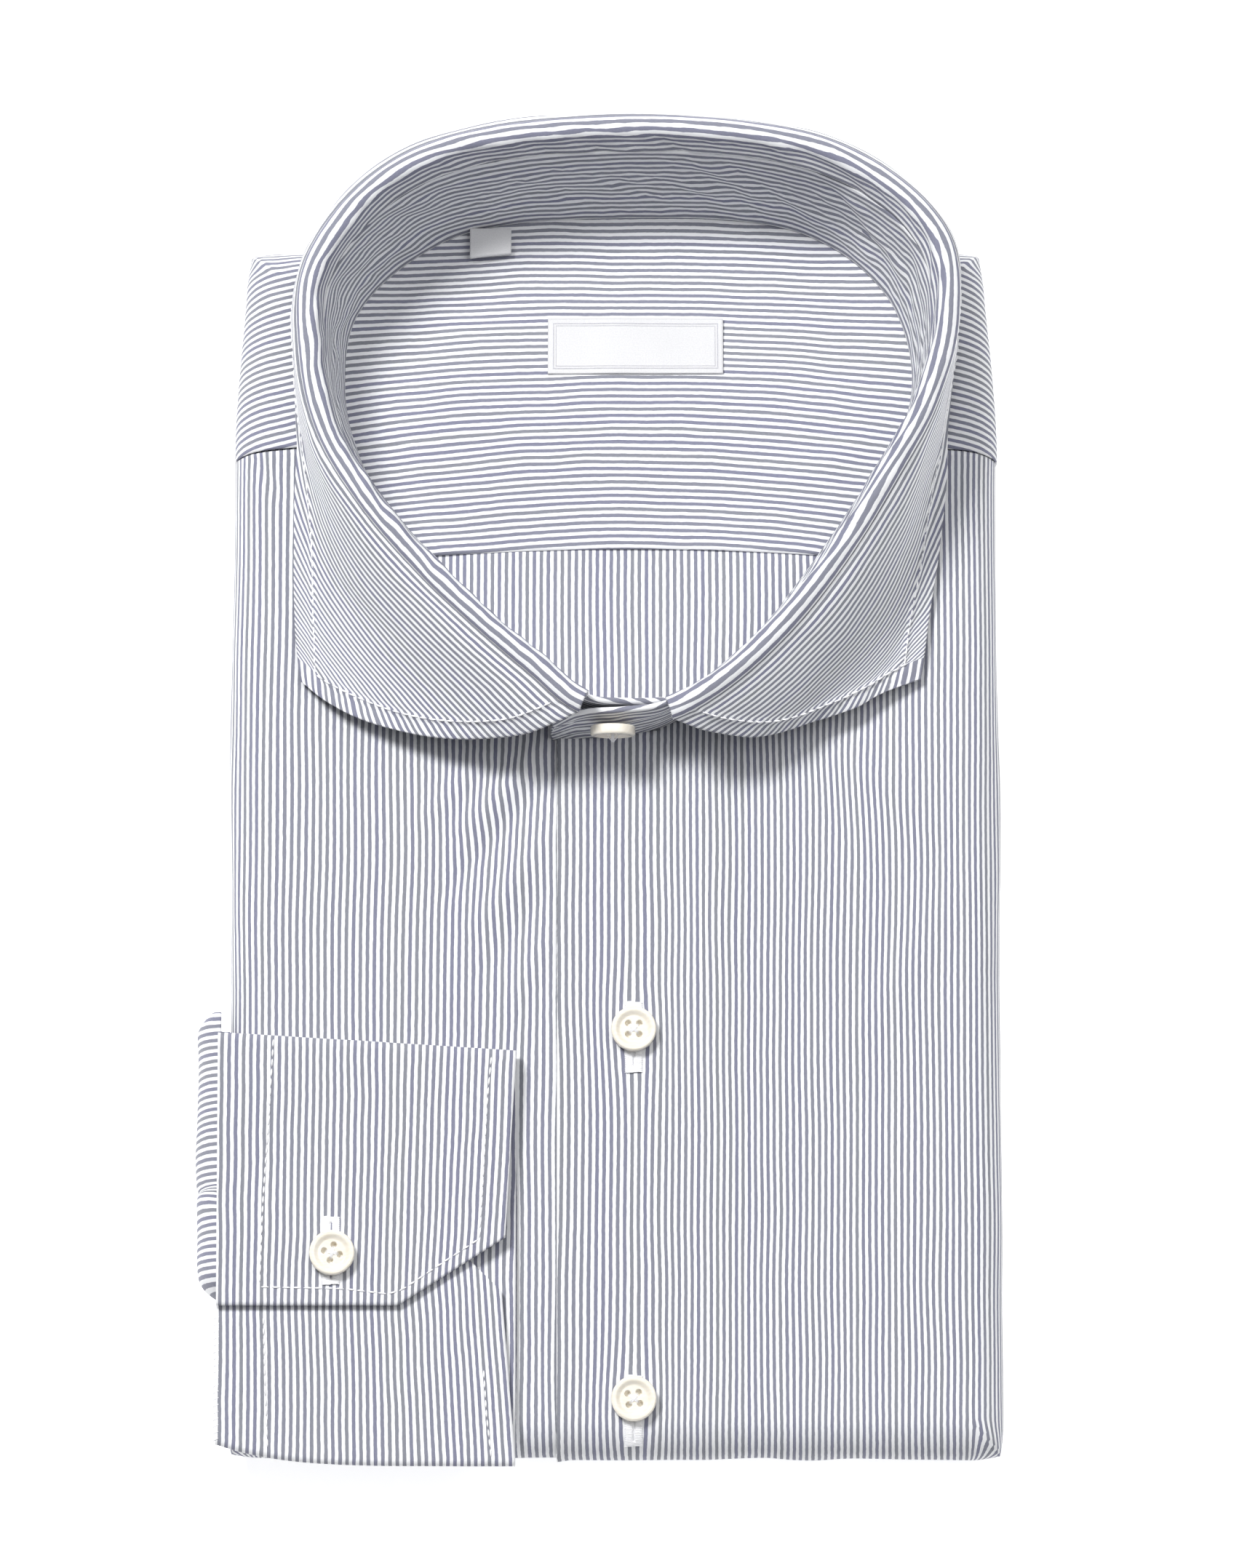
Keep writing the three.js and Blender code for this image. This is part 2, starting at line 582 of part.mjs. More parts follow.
function cuff() {
  const { back, under, flap } = CUFF_LEVELS;
  const topRadius = (flap - back) / 2;
  const bottomRadius = (under - back) / 2;
  const stretches = [4, 4, 6, 4, 4]; // rows in flap, top fold, back, bottom fold, underlap
  const rows = stretches.reduce((sum, steps) => sum + steps, 0);
  const flapSlope = 2.6; // how far the flap's free side slopes in
  const underSlope = 3.5;
  const underEndY = -96;

  const middle = (across, along) => {
    let x = lerp(CUFF_LEFT, CUFF_RIGHT, across);
    const topCentre = cuffTopY(x) - topRadius - CUFF_WALL / 2;
    const bottomCentre = cuffBottomY(x) + bottomRadius + CUFF_WALL / 2;
    let at = along * rows;
    let stretch = 0;
    while (stretch < 4 && at > stretches[stretch]) {
      at -= stretches[stretch];
      stretch += 1;
    }
    const share = at / stretches[stretch];
    let y;
    let level;
    if (stretch === 0) {
      y = lerp(flapEndY(x), topCentre, share);
      level = flap;
      x -= flapSlope * across * (1 - share);
    } else if (stretch === 1) {
      y = topCentre + topRadius * Math.sin(Math.PI * share);
      level = lerp(back, flap, 0.5 + 0.5 * Math.cos(Math.PI * share));
    } else if (stretch === 2) {
      y = lerp(topCentre, bottomCentre, share);
      level = back;
    } else if (stretch === 3) {
      y = bottomCentre - bottomRadius * Math.sin(Math.PI * share);
      level = lerp(back, under, 0.5 - 0.5 * Math.cos(Math.PI * share));
    } else {
      y = lerp(bottomCentre, underEndY, share);
      level = under;
      x -= underSlope * across * share;
    }
    return new THREE.Vector3(x, y, stackHeight(x, y) + GAP + level);
  };
  return wall(8, rows, middle, CUFF_WALL);
}

// --------------------------------------------------------------------------- buttons

// A turned button with a raised rim, a dished middle and four holes, face along +Z.
function button() {
  const holeRadius = 0.75;
  const holeSpacing = 1.35;
  const profile = [
    [0, 0],
    [BUTTON_RADIUS - 0.9, 0],
    [BUTTON_RADIUS, 0.9],
    [BUTTON_RADIUS, BUTTON_HEIGHT - 0.7],
    [BUTTON_RADIUS - 0.6, BUTTON_HEIGHT],
    [BUTTON_RADIUS - 1.5, BUTTON_HEIGHT],
    [BUTTON_RADIUS - 2.1, BUTTON_HEIGHT - 0.9],
    [0, BUTTON_HEIGHT - 1.1],
  ].map(([radius, height]) => new THREE.Vector2(radius, height));
  let solid = toManifold(new THREE.LatheGeometry(profile, 24));
  for (const x of [-holeSpacing, holeSpacing]) {
    for (const z of [-holeSpacing, holeSpacing]) {
      const hole = new THREE.CylinderGeometry(holeRadius, holeRadius, 3 * BUTTON_HEIGHT, 8);
      hole.translate(x, 0, z);
      solid = solid.subtract(toManifold(hole));
    }
  }
  const geometry = fromManifold(solid);
  geometry.rotateX(Math.PI / 2);
  return geometry;
}

// A small tape lying on the yoke behind the neck, or standing off it by lift.
function tape({ left, right, bottom, top, lift }, columns, rows) {
  const place = (column, row, side) => {
    const u = lerp(left, right, column / columns);
    const v = lerp(bottom, top, row / rows);
    return lay(u, v, GAP + side * TAPE - lift, { topFlatY: SHOULDER_Y + EDGE_RADIUS });
  };
  return sheet(columns, rows, place);
}

// -------------------------------------------------------------------------- assembly

const shirt = new THREE.Group();

function add(name, geometry, material) {
  const mesh = new THREE.Mesh(geometry, material);
  mesh.name = name;
  shirt.add(mesh);
  return mesh;
}

add('folded_core', foldedCore(), stripedCotton());
add('back_panel', backPanel(), stripedCotton());
add('yoke', yoke(), stripedCotton());
add('front_right', front(-1), stripedCotton());
add('front_left', front(1), stripedCotton());
add('collar_stand', collarStand(), stripedCotton());
add('collar_fall', collarFall(), stripedCotton());
add('sleeve', sleeve(), stripedCotton());
add('cuff', cuff(), stripedCotton());
add('neck_label', tape(LABEL, 6, 3), whiteSatin());
add('size_tab', tape(TAB, 3, 2), whiteSatin());

FRONT_BUTTONS.forEach(([x, y], step) => {
  const mesh = add(`front_button_${step + 1}`, button(), shell());
  mesh.position.set(x, y, stackHeight(x, y) + PLACKET_RISE + 0.5);
});

const cuffButton = add('cuff_button', button(), shell());
const flapFace = GAP + CUFF_LEVELS.flap + CUFF_WALL / 2;
cuffButton.position.set(...CUFF_BUTTON, stackHeight(...CUFF_BUTTON) + flapFace + 0.4);

const collarButton = add('collar_button', button(), shell());
collarButton.rotation.x = Math.PI / 2;
collarButton.position.set(COLLAR_BUTTON[0], 29.6, COLLAR_BUTTON[1]);

// Bring the middle of the underside to the origin.
const bounds = new THREE.Box3().setFromObject(shirt);
const centre = bounds.getCenter(new THREE.Vector3());
shirt.position.set(-centre.x, -centre.y, -bounds.min.z);

export default shirt;
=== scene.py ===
# %% [markdown]
# # A dress shirt folded for the shelf
# This lesson builds a striped cotton shirt, folded front up, with its collar standing
# and one cuff brought round onto the front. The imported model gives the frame: its boxes
# say where everything lies. Each cloth piece is then made again as a fine surface, so
# that folds, puckers and stitches can be seen. Lengths are written in millimetres and
# turned into metres when a mesh is made.

# %% Load the frame
import math

import bmesh
import bpy
import numpy as np
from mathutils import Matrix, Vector


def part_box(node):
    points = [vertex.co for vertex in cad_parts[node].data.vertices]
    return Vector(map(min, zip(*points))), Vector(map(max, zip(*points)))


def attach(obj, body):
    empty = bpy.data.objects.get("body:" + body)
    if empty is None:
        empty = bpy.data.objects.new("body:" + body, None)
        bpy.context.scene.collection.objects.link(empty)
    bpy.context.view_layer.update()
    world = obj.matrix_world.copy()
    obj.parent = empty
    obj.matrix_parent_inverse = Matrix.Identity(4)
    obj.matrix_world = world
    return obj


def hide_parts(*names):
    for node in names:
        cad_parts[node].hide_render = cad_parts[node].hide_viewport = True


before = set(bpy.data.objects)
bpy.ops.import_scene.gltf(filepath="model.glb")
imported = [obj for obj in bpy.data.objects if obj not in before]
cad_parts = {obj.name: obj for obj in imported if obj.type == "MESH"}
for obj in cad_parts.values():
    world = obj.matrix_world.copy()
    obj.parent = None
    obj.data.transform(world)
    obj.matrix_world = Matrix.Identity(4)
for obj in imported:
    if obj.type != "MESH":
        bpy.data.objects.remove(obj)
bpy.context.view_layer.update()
button_low, button_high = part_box("front_button_1")
FIRST_BUTTON = np.array([4.8, -46.0])
button_centre = (np.array(button_low) + np.array(button_high)) / 2
ORIGIN = np.array([*(button_centre[:2] - FIRST_BUTTON / 1000), 0.0])

# %% [markdown]
# The shirt is seen from almost straight above, a little from the hem side, through a long
# lens so that nothing looks distorted. The camera is placed from an aim point on the
# chest, an elevation and a distance. A wide soft lamp stands behind the collar on the
# left: it leaves a soft shadow under the collar points. A second one overhead and an even
# pale sky fill the rest. The plain display transform keeps white cotton white, as it is
# on a lit studio table, where the filmic one would turn it grey.

# %% Camera, lamps and floor
AIM = ORIGIN + np.array([3.2, 18.0, 23.0]) / 1000
ELEVATION = math.radians(77)
DISTANCE = 2.8
FRAME_HEIGHT_AT_AIM = 0.3993
SENSOR = 36.0

forward = np.array([0.0, math.cos(ELEVATION), -math.sin(ELEVATION)])
lens = bpy.data.cameras.new("camera")
lens.sensor_width = SENSOR
lens.lens = SENSOR * DISTANCE / FRAME_HEIGHT_AT_AIM
lens.clip_start, lens.clip_end = 0.05, 50
camera = bpy.data.objects.new("camera", lens)
camera.location = AIM - forward * DISTANCE
camera.rotation_euler = Vector(forward).to_track_quat("-Z", "Y").to_euler()
bpy.context.scene.collection.objects.link(camera)
bpy.context.scene.camera = camera
bpy.context.scene.view_settings.view_transform = "Standard"


def add_lamp(name, place, size, watts):
    """A square soft lamp that faces the chest."""
    data = bpy.data.lights.new(name, "AREA")
    data.size, data.energy = size, watts
    lamp = bpy.data.objects.new(name, data)
    lamp.location = place
    towards = Vector(AIM) - Vector(place)
    lamp.rotation_euler = towards.to_track_quat("-Z", "Y").to_euler()
    bpy.context.scene.collection.objects.link(lamp)


add_lamp("key_lamp", (-0.92, 0.98, 2.05), 0.62, 59)
add_lamp("top_lamp", (0.95, 0.35, 2.2), 2.2, 25)

sky = bpy.data.worlds.new("pale_sky")
sky.use_nodes = True
sky.node_tree.nodes["Background"].inputs["Color"].default_value = (0.97, 0.985, 1.0, 1)
sky.node_tree.nodes["Background"].inputs["Strength"].default_value = 0.235
bpy.context.scene.world = sky
print("lens", round(lens.lens, 1), "mm")

# %% [markdown]
# Cotton shirting is woven from fine yarns. The stripes are dyed yarns, so they follow the
# cloth wherever it goes: over a fold, round a collar, into a pucker. That is why the
# pattern reads a map called "cloth", which stores for every corner of a mesh how far it
# lies across the stripes and along them, in metres of flat cloth. One period is a white
# half and a dyed half; the dye varies from stripe to stripe between a violet blue and a
# grey. A fine diagonal twill and a soft mottling keep the threads visible close up.

# %% Material helpers
PERIOD = 1.79


def new_material(name):
    """An empty node material with its shader, and short ways to add and join nodes."""
    material = bpy.data.materials.new(name)
    material.use_nodes = True
    tree = material.node_tree
    tree.nodes.clear()
    output = tree.nodes.new("ShaderNodeOutputMaterial")
    shader = tree.nodes.new("ShaderNodeBsdfPrincipled")
    tree.links.new(shader.outputs["BSDF"], output.inputs["Surface"])

    def node(kind, settings=None, **inputs):
        made = tree.nodes.new("ShaderNode" + kind)
        for key, value in (settings or {}).items():
            setattr(made, key, value)
        for key, value in inputs.items():
            socket = made.inputs[int(key[1:]) if key[0] == "i" and key[1:].isdigit() else key]
            if isinstance(value, bpy.types.NodeSocket):
                tree.links.new(value, socket)
            else:
                socket.default_value = value
        return made

    return material, shader, node, tree.links.new


def maths(node, operation, *values):
    """One arithmetic step between sockets or numbers."""
    step = node("Math", {"operation": operation}, **{f"i{at}": v for at, v in enumerate(values)})
    return step.outputs[0]


def colour_mix(node, share, first, second, blend="MIX"):
    """Two colours mixed by a share."""
    mix = node("Mix", {"data_type": "RGBA", "blend_type": blend})
    made = mix.inputs
    for socket, value in ((made[0], share), (made[6], first), (made[7], second)):
        if isinstance(value, bpy.types.NodeSocket):
            mix.id_data.links.new(value, socket)
        else:
            socket.default_value = value
    return mix.outputs[2]


print("materials made so far:", len(bpy.data.materials))

# %% [markdown]
# The striped cotton itself. The distance across the cloth is divided by one period: its
# fractional part says white or dyed, and its whole part picks that stripe's dye. A light
# noise moves the sides of the stripes, as uneven yarns do, and the same depth that shades
# the threads also drives the bump.

# %% Striped cotton
STRIPE_SIDE = (0.228, 0.282)  # where the dyed half fades out, in periods from its middle
TWILL_PITCH, THREADS_PER_METRE = 0.00033, 5200.0
WHITE_YARN = (0.86, 0.865, 0.88, 1)
VIOLET_YARN = (0.128, 0.131, 0.218, 1)
GREY_YARN = (0.165, 0.172, 0.196, 1)


def striped_cotton(name):
    """Stripes by place across the cloth: the fractional part of the distance over one
    period, with soft sides, picks white or dyed yarn; the whole part picks the dye."""
    material, shader, node, link = new_material(name)
    cloth = node("UVMap", {"uv_map": "cloth"}).outputs[0]
    split = node("SeparateXYZ", i0=cloth)
    wander = node("TexNoise", {"noise_dimensions": "2D"}, Vector=cloth, Scale=420.0, Detail=2.0)
    shift = maths(node, "MULTIPLY", maths(node, "SUBTRACT", wander.outputs[0], 0.5), 0.12)
    place = maths(node, "ADD", maths(node, "DIVIDE", split.outputs[0], PERIOD / 1000), shift)
    share = maths(node, "FRACT", place)
    from_middle = maths(node, "ABSOLUTE", maths(node, "SUBTRACT", share, 0.5))
    dyed = node(
        "MapRange",
        {"interpolation_type": "SMOOTHSTEP"},
        Value=from_middle,
        **{"From Min": STRIPE_SIDE[0], "From Max": STRIPE_SIDE[1], "To Min": 1.0, "To Max": 0.0},
    ).outputs[0]
    number = node("TexWhiteNoise", {"noise_dimensions": "1D"}, W=maths(node, "FLOOR", place))
    dye = colour_mix(node, number.outputs[0], VIOLET_YARN, GREY_YARN)

    # Yarns: a diagonal twill across the dyed half, and threads of uneven depth.
    stretch = node("Mapping", Vector=cloth, Scale=(1.0, 0.28, 1.0))
    thread = node(
        "TexNoise",
        {"noise_dimensions": "2D"},
        Vector=stretch.outputs[0],
        Scale=THREADS_PER_METRE,
        Detail=2.0,
    )
    diagonal = maths(node, "ADD", split.outputs[0], split.outputs[1])
    twill = maths(node, "SINE", maths(node, "MULTIPLY", diagonal, 2 * math.pi / TWILL_PITCH))
    ribs = maths(node, "MULTIPLY_ADD", twill, 0.16, 0.5)
    depth = maths(node, "ADD", ribs, maths(node, "MULTIPLY", thread.outputs[0], 0.75))
    dye = colour_mix(node, maths(node, "MULTIPLY", depth, 0.28), dye, (0.46, 0.47, 0.53, 1))
    white = colour_mix(node, maths(node, "MULTIPLY", depth, 0.10), WHITE_YARN, (0.66, 0.67, 0.72, 1))
    link(colour_mix(node, dyed, white, dye), shader.inputs["Base Color"])

    bump = node("Bump", Strength=0.35, Distance=0.00012, Height=depth)
    link(bump.outputs[0], shader.inputs["Normal"])
    shader.inputs["Roughness"].default_value = 0.82
    shader.inputs["Specular IOR Level"].default_value = 0.3
    shader.inputs["Sheen Weight"].default_value = 0.12
    shader.inputs["Sheen Roughness"].default_value = 0.5
    return material


COTTON = striped_cotton("striped_cotton")
print("one stripe and its gap take", PERIOD, "mm")

# %% [markdown]
# A floor is all the scene needs round the shirt: a wide sheet of pale card that glows a
# little, like the top of a light table, so that shadows on it stay faint.

# %% Floor
FLOOR_HALF = 4.0
card, card_shader, *_ = new_material("pale_card")
card_shader.inputs["Base Color"].default_value = (0.93, 0.93, 0.93, 1)
card_shader.inputs["Roughness"].default_value = 0.9
card_shader.inputs["Specular IOR Level"].default_value = 0.1
card_shader.inputs["Emission Color"].default_value = (1, 1, 1, 1)
card_shader.inputs["Emission Strength"].default_value = 0.6
floor_mesh = bpy.data.meshes.new("floor")
floor_corners = [(x * FLOOR_HALF, y * FLOOR_HALF, 0) for x, y in ((-1, -1), (1, -1), (1, 1), (-1, 1))]
floor_mesh.from_pydata(floor_corners, [], [(0, 1, 2, 3)])
floor_mesh.materials.append(card)
floor = bpy.data.objects.new("floor", floor_mesh)
bpy.context.scene.collection.objects.link(floor)
print("floor", 2 * FLOOR_HALF, "m wide")

# %% [markdown]
# Cloth is never quite even. Two small tools put that in: soft noise, which blends
# seeded random values on a lattice, and a crease, which is a bell-shaped ridge along a
# line and fades out towards its ends. Both only shift points of a grid.

# %% Small shapes


def lerp(a, b, share):
    """From a to b by a share."""
    return a + (b - a) * share


def smooth(share):
    """The smooth step 3s^2 - 2s^3 of a share kept within 0 and 1."""
    kept = np.clip(share, 0, 1)
    return kept * kept * (3 - 2 * kept)


def bell(distance, width):
    """One at no distance, falling off as exp(-(d / width)^2)."""
    return np.exp(-((distance / width) ** 2))


def soft_noise(x, y, cell, seed):
    """Unevenness from -1 to 1: seeded values on a square lattice, blended smoothly."""
    size = 64
    table = np.random.default_rng(seed).uniform(-1, 1, (size, size))
    column, row = np.floor(x / cell).astype(int), np.floor(y / cell).astype(int)
    across, along = smooth(x / cell - column), smooth(y / cell - row)

    def at(i, j):
        return table[(column + i) % size, (row + j) % size]

    return lerp(lerp(at(0, 0), at(1, 0), across), lerp(at(0, 1), at(1, 1), across), along)


def crease(x, y, start, end, width, height):
    """A ridge along a line: height times a bell of the distance from the line, fading
    in and out along it as the root of a sine."""
    (ax, ay), (bx, by) = start, end
    length = math.hypot(bx - ax, by - ay)
    along = ((x - ax) * (bx - ax) + (y - ay) * (by - ay)) / length**2
    off = ((x - ax) * (by - ay) - (y - ay) * (bx - ax)) / length
    return height * bell(off, width) * np.sin(np.pi * np.clip(along, 0, 1)) ** 0.7


def creases(x, y, table):
    """Several creases added up."""
    return sum(crease(x, y, *row) for row in table)


print("a crease is", round(float(crease(5.0, 0.0, (0, 0), (10, 0), 2, 1.0)), 2), "high in its middle")

# %% [markdown]
# Three more tools are about curves and grids: a smooth curve through stations, the normals
# of a grid, and the distance walked along it, which later places the stripes.

# %% Curves and grids


def through(points, share):
    """A smooth curve through points, for shares from 0 to 1. Each stretch is the cubic
    whose slopes at its ends come from its neighbours, weighted by the root of the
    distances between them (a centripetal Catmull-Rom curve)."""
    points = np.asarray(points, float)
    padded = np.vstack([2 * points[0] - points[1], points, 2 * points[-1] - points[-2]])
    at = np.clip(share, 0, 1) * (len(points) - 1)
    first = np.minimum(at.astype(int), len(points) - 2)
    w = (at - first)[..., None]
    a, b, c, d = (padded[first + step] for step in range(4))
    pairs = ((a, b), (b, c), (c, d))
    ab, bc, cd = (np.sqrt(np.linalg.norm(q - p, axis=-1, keepdims=True)) for p, q in pairs)
    leave = bc * ((b - a) / ab - (c - a) / (ab + bc) + (c - b) / bc)
    arrive = bc * ((c - b) / bc - (d - b) / (bc + cd) + (d - c) / cd)
    return (
        (2 * w**3 - 3 * w**2 + 1) * b
        + (w**3 - 2 * w**2 + w) * leave
        + (3 * w**2 - 2 * w**3) * c
        + (w**3 - w**2) * arrive
    )


def normals_of(grid):
    """Unit normals of a grid of points: the cross product of its two directions."""
    across = np.gradient(grid, axis=1)
    along = np.gradient(grid, axis=0)
    normal = np.cross(across, along)
    return normal / np.maximum(np.linalg.norm(normal, axis=-1, keepdims=True), 1e-9)


def run_length(grid, axis):
    """Distance walked along one direction of a grid, from its start."""
    steps = np.linalg.norm(np.diff(grid, axis=axis), axis=-1)
    start = np.zeros_like(np.take(steps, [0], axis=axis))
    return np.concatenate([start, np.cumsum(steps, axis=axis)], axis=axis)


print("soft noise at one place:", round(float(soft_noise(np.array(3.0), np.array(4.0), 10, 1)), 3))

# %% [markdown]
# Every cloth piece goes into Blender the same way: a grid of points, one quad per cell,
# some cells left out, and the "cloth" map beside it. Solidify then gives the cloth its
# thickness. Building the arrays first and handing them over with foreach_set is far
# quicker than adding faces one by one.

# %% From grids to meshes


def grid_faces(rows, columns, keep=None, offset=0):
    """Corner numbers of the quads of a grid, counter-clockwise seen from its right side."""
    number = np.arange(rows * columns).reshape(rows, columns) + offset
    quads = np.stack([number[:-1, :-1], number[:-1, 1:], number[1:, 1:], number[1:, :-1]], -1)
    return quads[keep] if keep is not None else quads.reshape(-1, 4)


def add_mesh(name, points, quads, cloth, material):
    """A named object at the origin from points in mm, quads and a map in mm."""
    used, quads = np.unique(quads, return_inverse=True)
    quads = quads.reshape(-1, 4)
    places = np.asarray(points, float).reshape(-1, 3)[used] / 1000 + ORIGIN
    flat = np.asarray(cloth, float).reshape(-1, 2)[used] / 1000
    mesh = bpy.data.meshes.new(name)
    mesh.vertices.add(len(places))
    mesh.vertices.foreach_set("co", places.astype(np.float32).ravel())
    mesh.loops.add(quads.size)
    mesh.loops.foreach_set("vertex_index", quads.ravel().astype(np.int32))
    mesh.polygons.add(len(quads))
    mesh.polygons.foreach_set("loop_start", np.arange(0, quads.size, 4, dtype=np.int32))
    mesh.polygons.foreach_set("loop_total", np.full(len(quads), 4, np.int32))
    mesh.update(calc_edges=True)
    layer = mesh.uv_layers.new(name="cloth")
    layer.data.foreach_set("uv", flat[quads.ravel()].astype(np.float32).ravel())
    mesh.polygons.foreach_set("use_smooth", np.ones(len(quads), bool))
    mesh.materials.append(material)
    piece = bpy.data.objects.new(name, mesh)
    bpy.context.scene.collection.objects.link(piece)
    return piece


print("a grid of 3 by 4 points has", len(grid_faces(3, 4)), "quads")

# %% [markdown]
# Several grids can share one piece, as the outside and the lining of the yoke do. Each
# piece then rides on the one body and replaces its plain solids.

# %% Thickness, and what a piece stands for


def thicken(piece, wall, offset=-1.0):
    """Cloth of an even thickness: inwards from the surface, or to both sides with 0."""
    solid = piece.modifiers.new("wall", "SOLIDIFY")
    solid.thickness, solid.offset = wall / 1000, offset
    solid.use_even_offset = False
    solid.use_rim = True
    return piece


def add_sheets(name, sheets, wall, material, offset=-1.0):
    """Several grids as one piece. Each is (points, map, kept cells or None)."""
    faces, offset_at = [], 0
    for points, _, keep in sheets:
        faces.append(grid_faces(*points.shape[:2], keep, offset_at))
        offset_at += points.shape[0] * points.shape[1]
    points = np.concatenate([p.reshape(-1, 3) for p, _, _ in sheets])
    cloth = np.concatenate([c.reshape(-1, 2) for _, c, _ in sheets])
    piece = add_mesh(name, points, np.concatenate(faces), cloth, material)
    print(name, len(piece.data.polygons), "quads")
    return thicken(piece, wall, offset)


def finish_piece(piece, slot, *nodes):
    """The piece rides on the one body and stands for its nodes. The slot is not used."""
    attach(piece, "root")
    if nodes:
        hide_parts(*nodes)
    return piece


plain = [o.name for o in bpy.data.objects if o.type == "MESH" and o is not floor]
print("plain solids in the frame:", len(plain))

# %% [markdown]
# The folded shirt is a stack with rounded edges. One function turns a place on the cloth
# into a point in space: u runs across the shirt from its centre front, v from the hem to
# the collar, and whatever lies beyond the flat top has gone round a folded edge. depth
# counts down from the outermost layer, so two layers at different depths never touch.

# %% The folded stack
HALF_WIDTH, NARROWING = 98.0, 3.0
HEM_Y, SHOULDER_Y = -153.5, 161.0
HEM_HEIGHT, CHEST_HEIGHT, NECK_DIP = 18.0, 23.0, 9.0
EDGE_RADIUS, WRAP, WRAP_ANGLE = 9.0, 27.0, math.radians(165)
CORNER_SHARPNESS = 0.7
HEM_FLAT_Y = HEM_Y + EDGE_RADIUS
SHOULDER_FLAT_Y = SHOULDER_Y - EDGE_RADIUS
FRONT_SEAM_Y, SEAM_SLOPE = 107.5, 2.5


def stack_height(x, y):
    """Height of the outermost cloth: rising from hem to chest, dipping behind the neck."""
    rise = smooth((y - HEM_Y) / 175)
    behind_neck = smooth((y - 110) / 58) * (1 - smooth((np.abs(x) - 50) / 35))
    return lerp(HEM_HEIGHT, CHEST_HEIGHT, rise) - NECK_DIP * behind_neck


def flat_half_width(y):
    """Half width of the flat top, a little less over the shoulders."""
    return HALF_WIDTH - EDGE_RADIUS - NARROWING * smooth((y - FRONT_SEAM_Y) / 55)


def lay(u, v, depth=0.0, rise=0.0, top_flat=SHOULDER_FLAT_Y):
    """A place (u, v) on the cloth as a point. Cloth beyond the flat top turns through an
    arc of up to WRAP_ANGLE; where a side and an end meet, the square of the two turns is
    mapped onto a disc, which rounds the corner. rise lifts the cloth on the top side."""
    u, v, depth, rise, top_flat = np.broadcast_arrays(u, v, depth, rise, top_flat)
    flat = flat_half_width(v)
    side = np.clip((np.abs(u) - flat) / WRAP, 0, 1)
    hem = np.clip((HEM_FLAT_Y - v) / WRAP, 0, 1)
    top = np.clip((v - top_flat) / WRAP, 0, 1)
    end = np.maximum(hem, top)
    side_share = side * np.sqrt(1 - end**2 / 2)
    end_share = end * np.sqrt(1 - side**2 / 2)
    turn = np.hypot(side_share, end_share)
    angle = turn * WRAP_ANGLE
    lifted = depth - rise * (0.5 + 0.5 * np.cos(angle))
    larger = np.maximum(np.maximum(side_share, end_share), 1e-9)
    squareness = np.where(turn > 0, (np.maximum(turn, 1e-9) / larger) ** CORNER_SHARPNESS, 1)
    reach = squareness * (EDGE_RADIUS - lifted) * np.sin(angle) / np.maximum(turn, 1e-9)
    reach = np.where(turn > 1e-7, reach, 0)
    x = np.sign(u) * (np.minimum(np.abs(u), flat) + reach * side_share)
    y = np.clip(v, HEM_FLAT_Y, top_flat) + np.where(top > hem, reach, -reach) * end_share
    middle = stack_height(x, y) / 2
    return np.stack([x, y, middle + (middle - lifted) * np.cos(angle)], -1)


def placket_rise(x, y):
    """How far the over front stands up where it covers the under front."""
    near_neck = np.clip(1 - (y - 30) / 20, 0, 1)
    return 1.3 * near_neck * (1 - smooth((x - 20) / 18))


print("centre of the chest lies", lay(0.0, 0.0).round(1), "mm from the origin")

# %% [markdown]
# The collar decides where the neck opening is, so its stations come next. They run round
# the neck from the end that lies underneath at the front, by the left and the back, to
# the end that lies on top. Each has a point of the neckline, one of the collar's upper
# edge and, where the leaf hangs, one of the leaf's edge.

# %% The collar's stations
NECK = [
    (14, 36.4), (3, 34.8), (-7, 35.5), (-16, 41), (-27, 52), (-41, 67.5), (-54, 83.5), (-65, 101),
    (-70, 121), (-66.5, 144), (-43.5, 165.2), (4, 171.3), (50, 166.5), (70, 149), (77, 127),
    (73, 107), (62, 90), (50, 73), (37, 55.5), (24, 41.5), (13.5, 34), (2, 31), (-8, 30.3),
    (-16.3, 30),
]
TOP = [
    (14, 36.2, 42), (3, 35, 48), (-7, 35.5, 51), (-18, 44.3, 52), (-31, 55.5, 53),
    (-46, 70, 53), (-59.2, 85.4, 54), (-70.3, 103.6, 54), (-75, 123.4, 55),
    (-73.5, 147.2, 55), (-50.7, 172, 54), (4, 181.5, 53), (56, 174, 54), (79.8, 153.9, 55),
    (82.3, 132.9, 55), (76.7, 111.8, 54), (66.7, 93, 53.5), (55, 73.5, 53), (41.5, 56, 52),
    (26, 41.5, 51.5),
    (13, 33.8, 51), (2, 33, 48.6), (-8, 32.8, 47), (-15.6, 31.2, 42.5),
]
EDGE = [
    (-80, 44.3, 25), (-81, 52, 25), (-81.7, 61, 25), (-82, 74, 25), (-82, 88, 25),
    (-81.5, 105, 25), (-82, 124, 25), (-81, 151, 24), (-57, 184, 17), (4, 191, 12),
    (61.5, 184, 17), (87.5, 158, 24), (87.2, 134, 25), (85.6, 112, 25), (84.8, 95, 25),
    (83, 79, 25), (80.5, 63, 25), (79, 52, 25), (78, 45, 25),
]
LAST = len(NECK) - 1
LEAF_FROM, LEAF_TO = 2, 20
NECK_CENTRE, NECK_REACH = (4.0, 105.0), 70.0
neck_line = through(NECK, np.linspace(0, 1, 461))


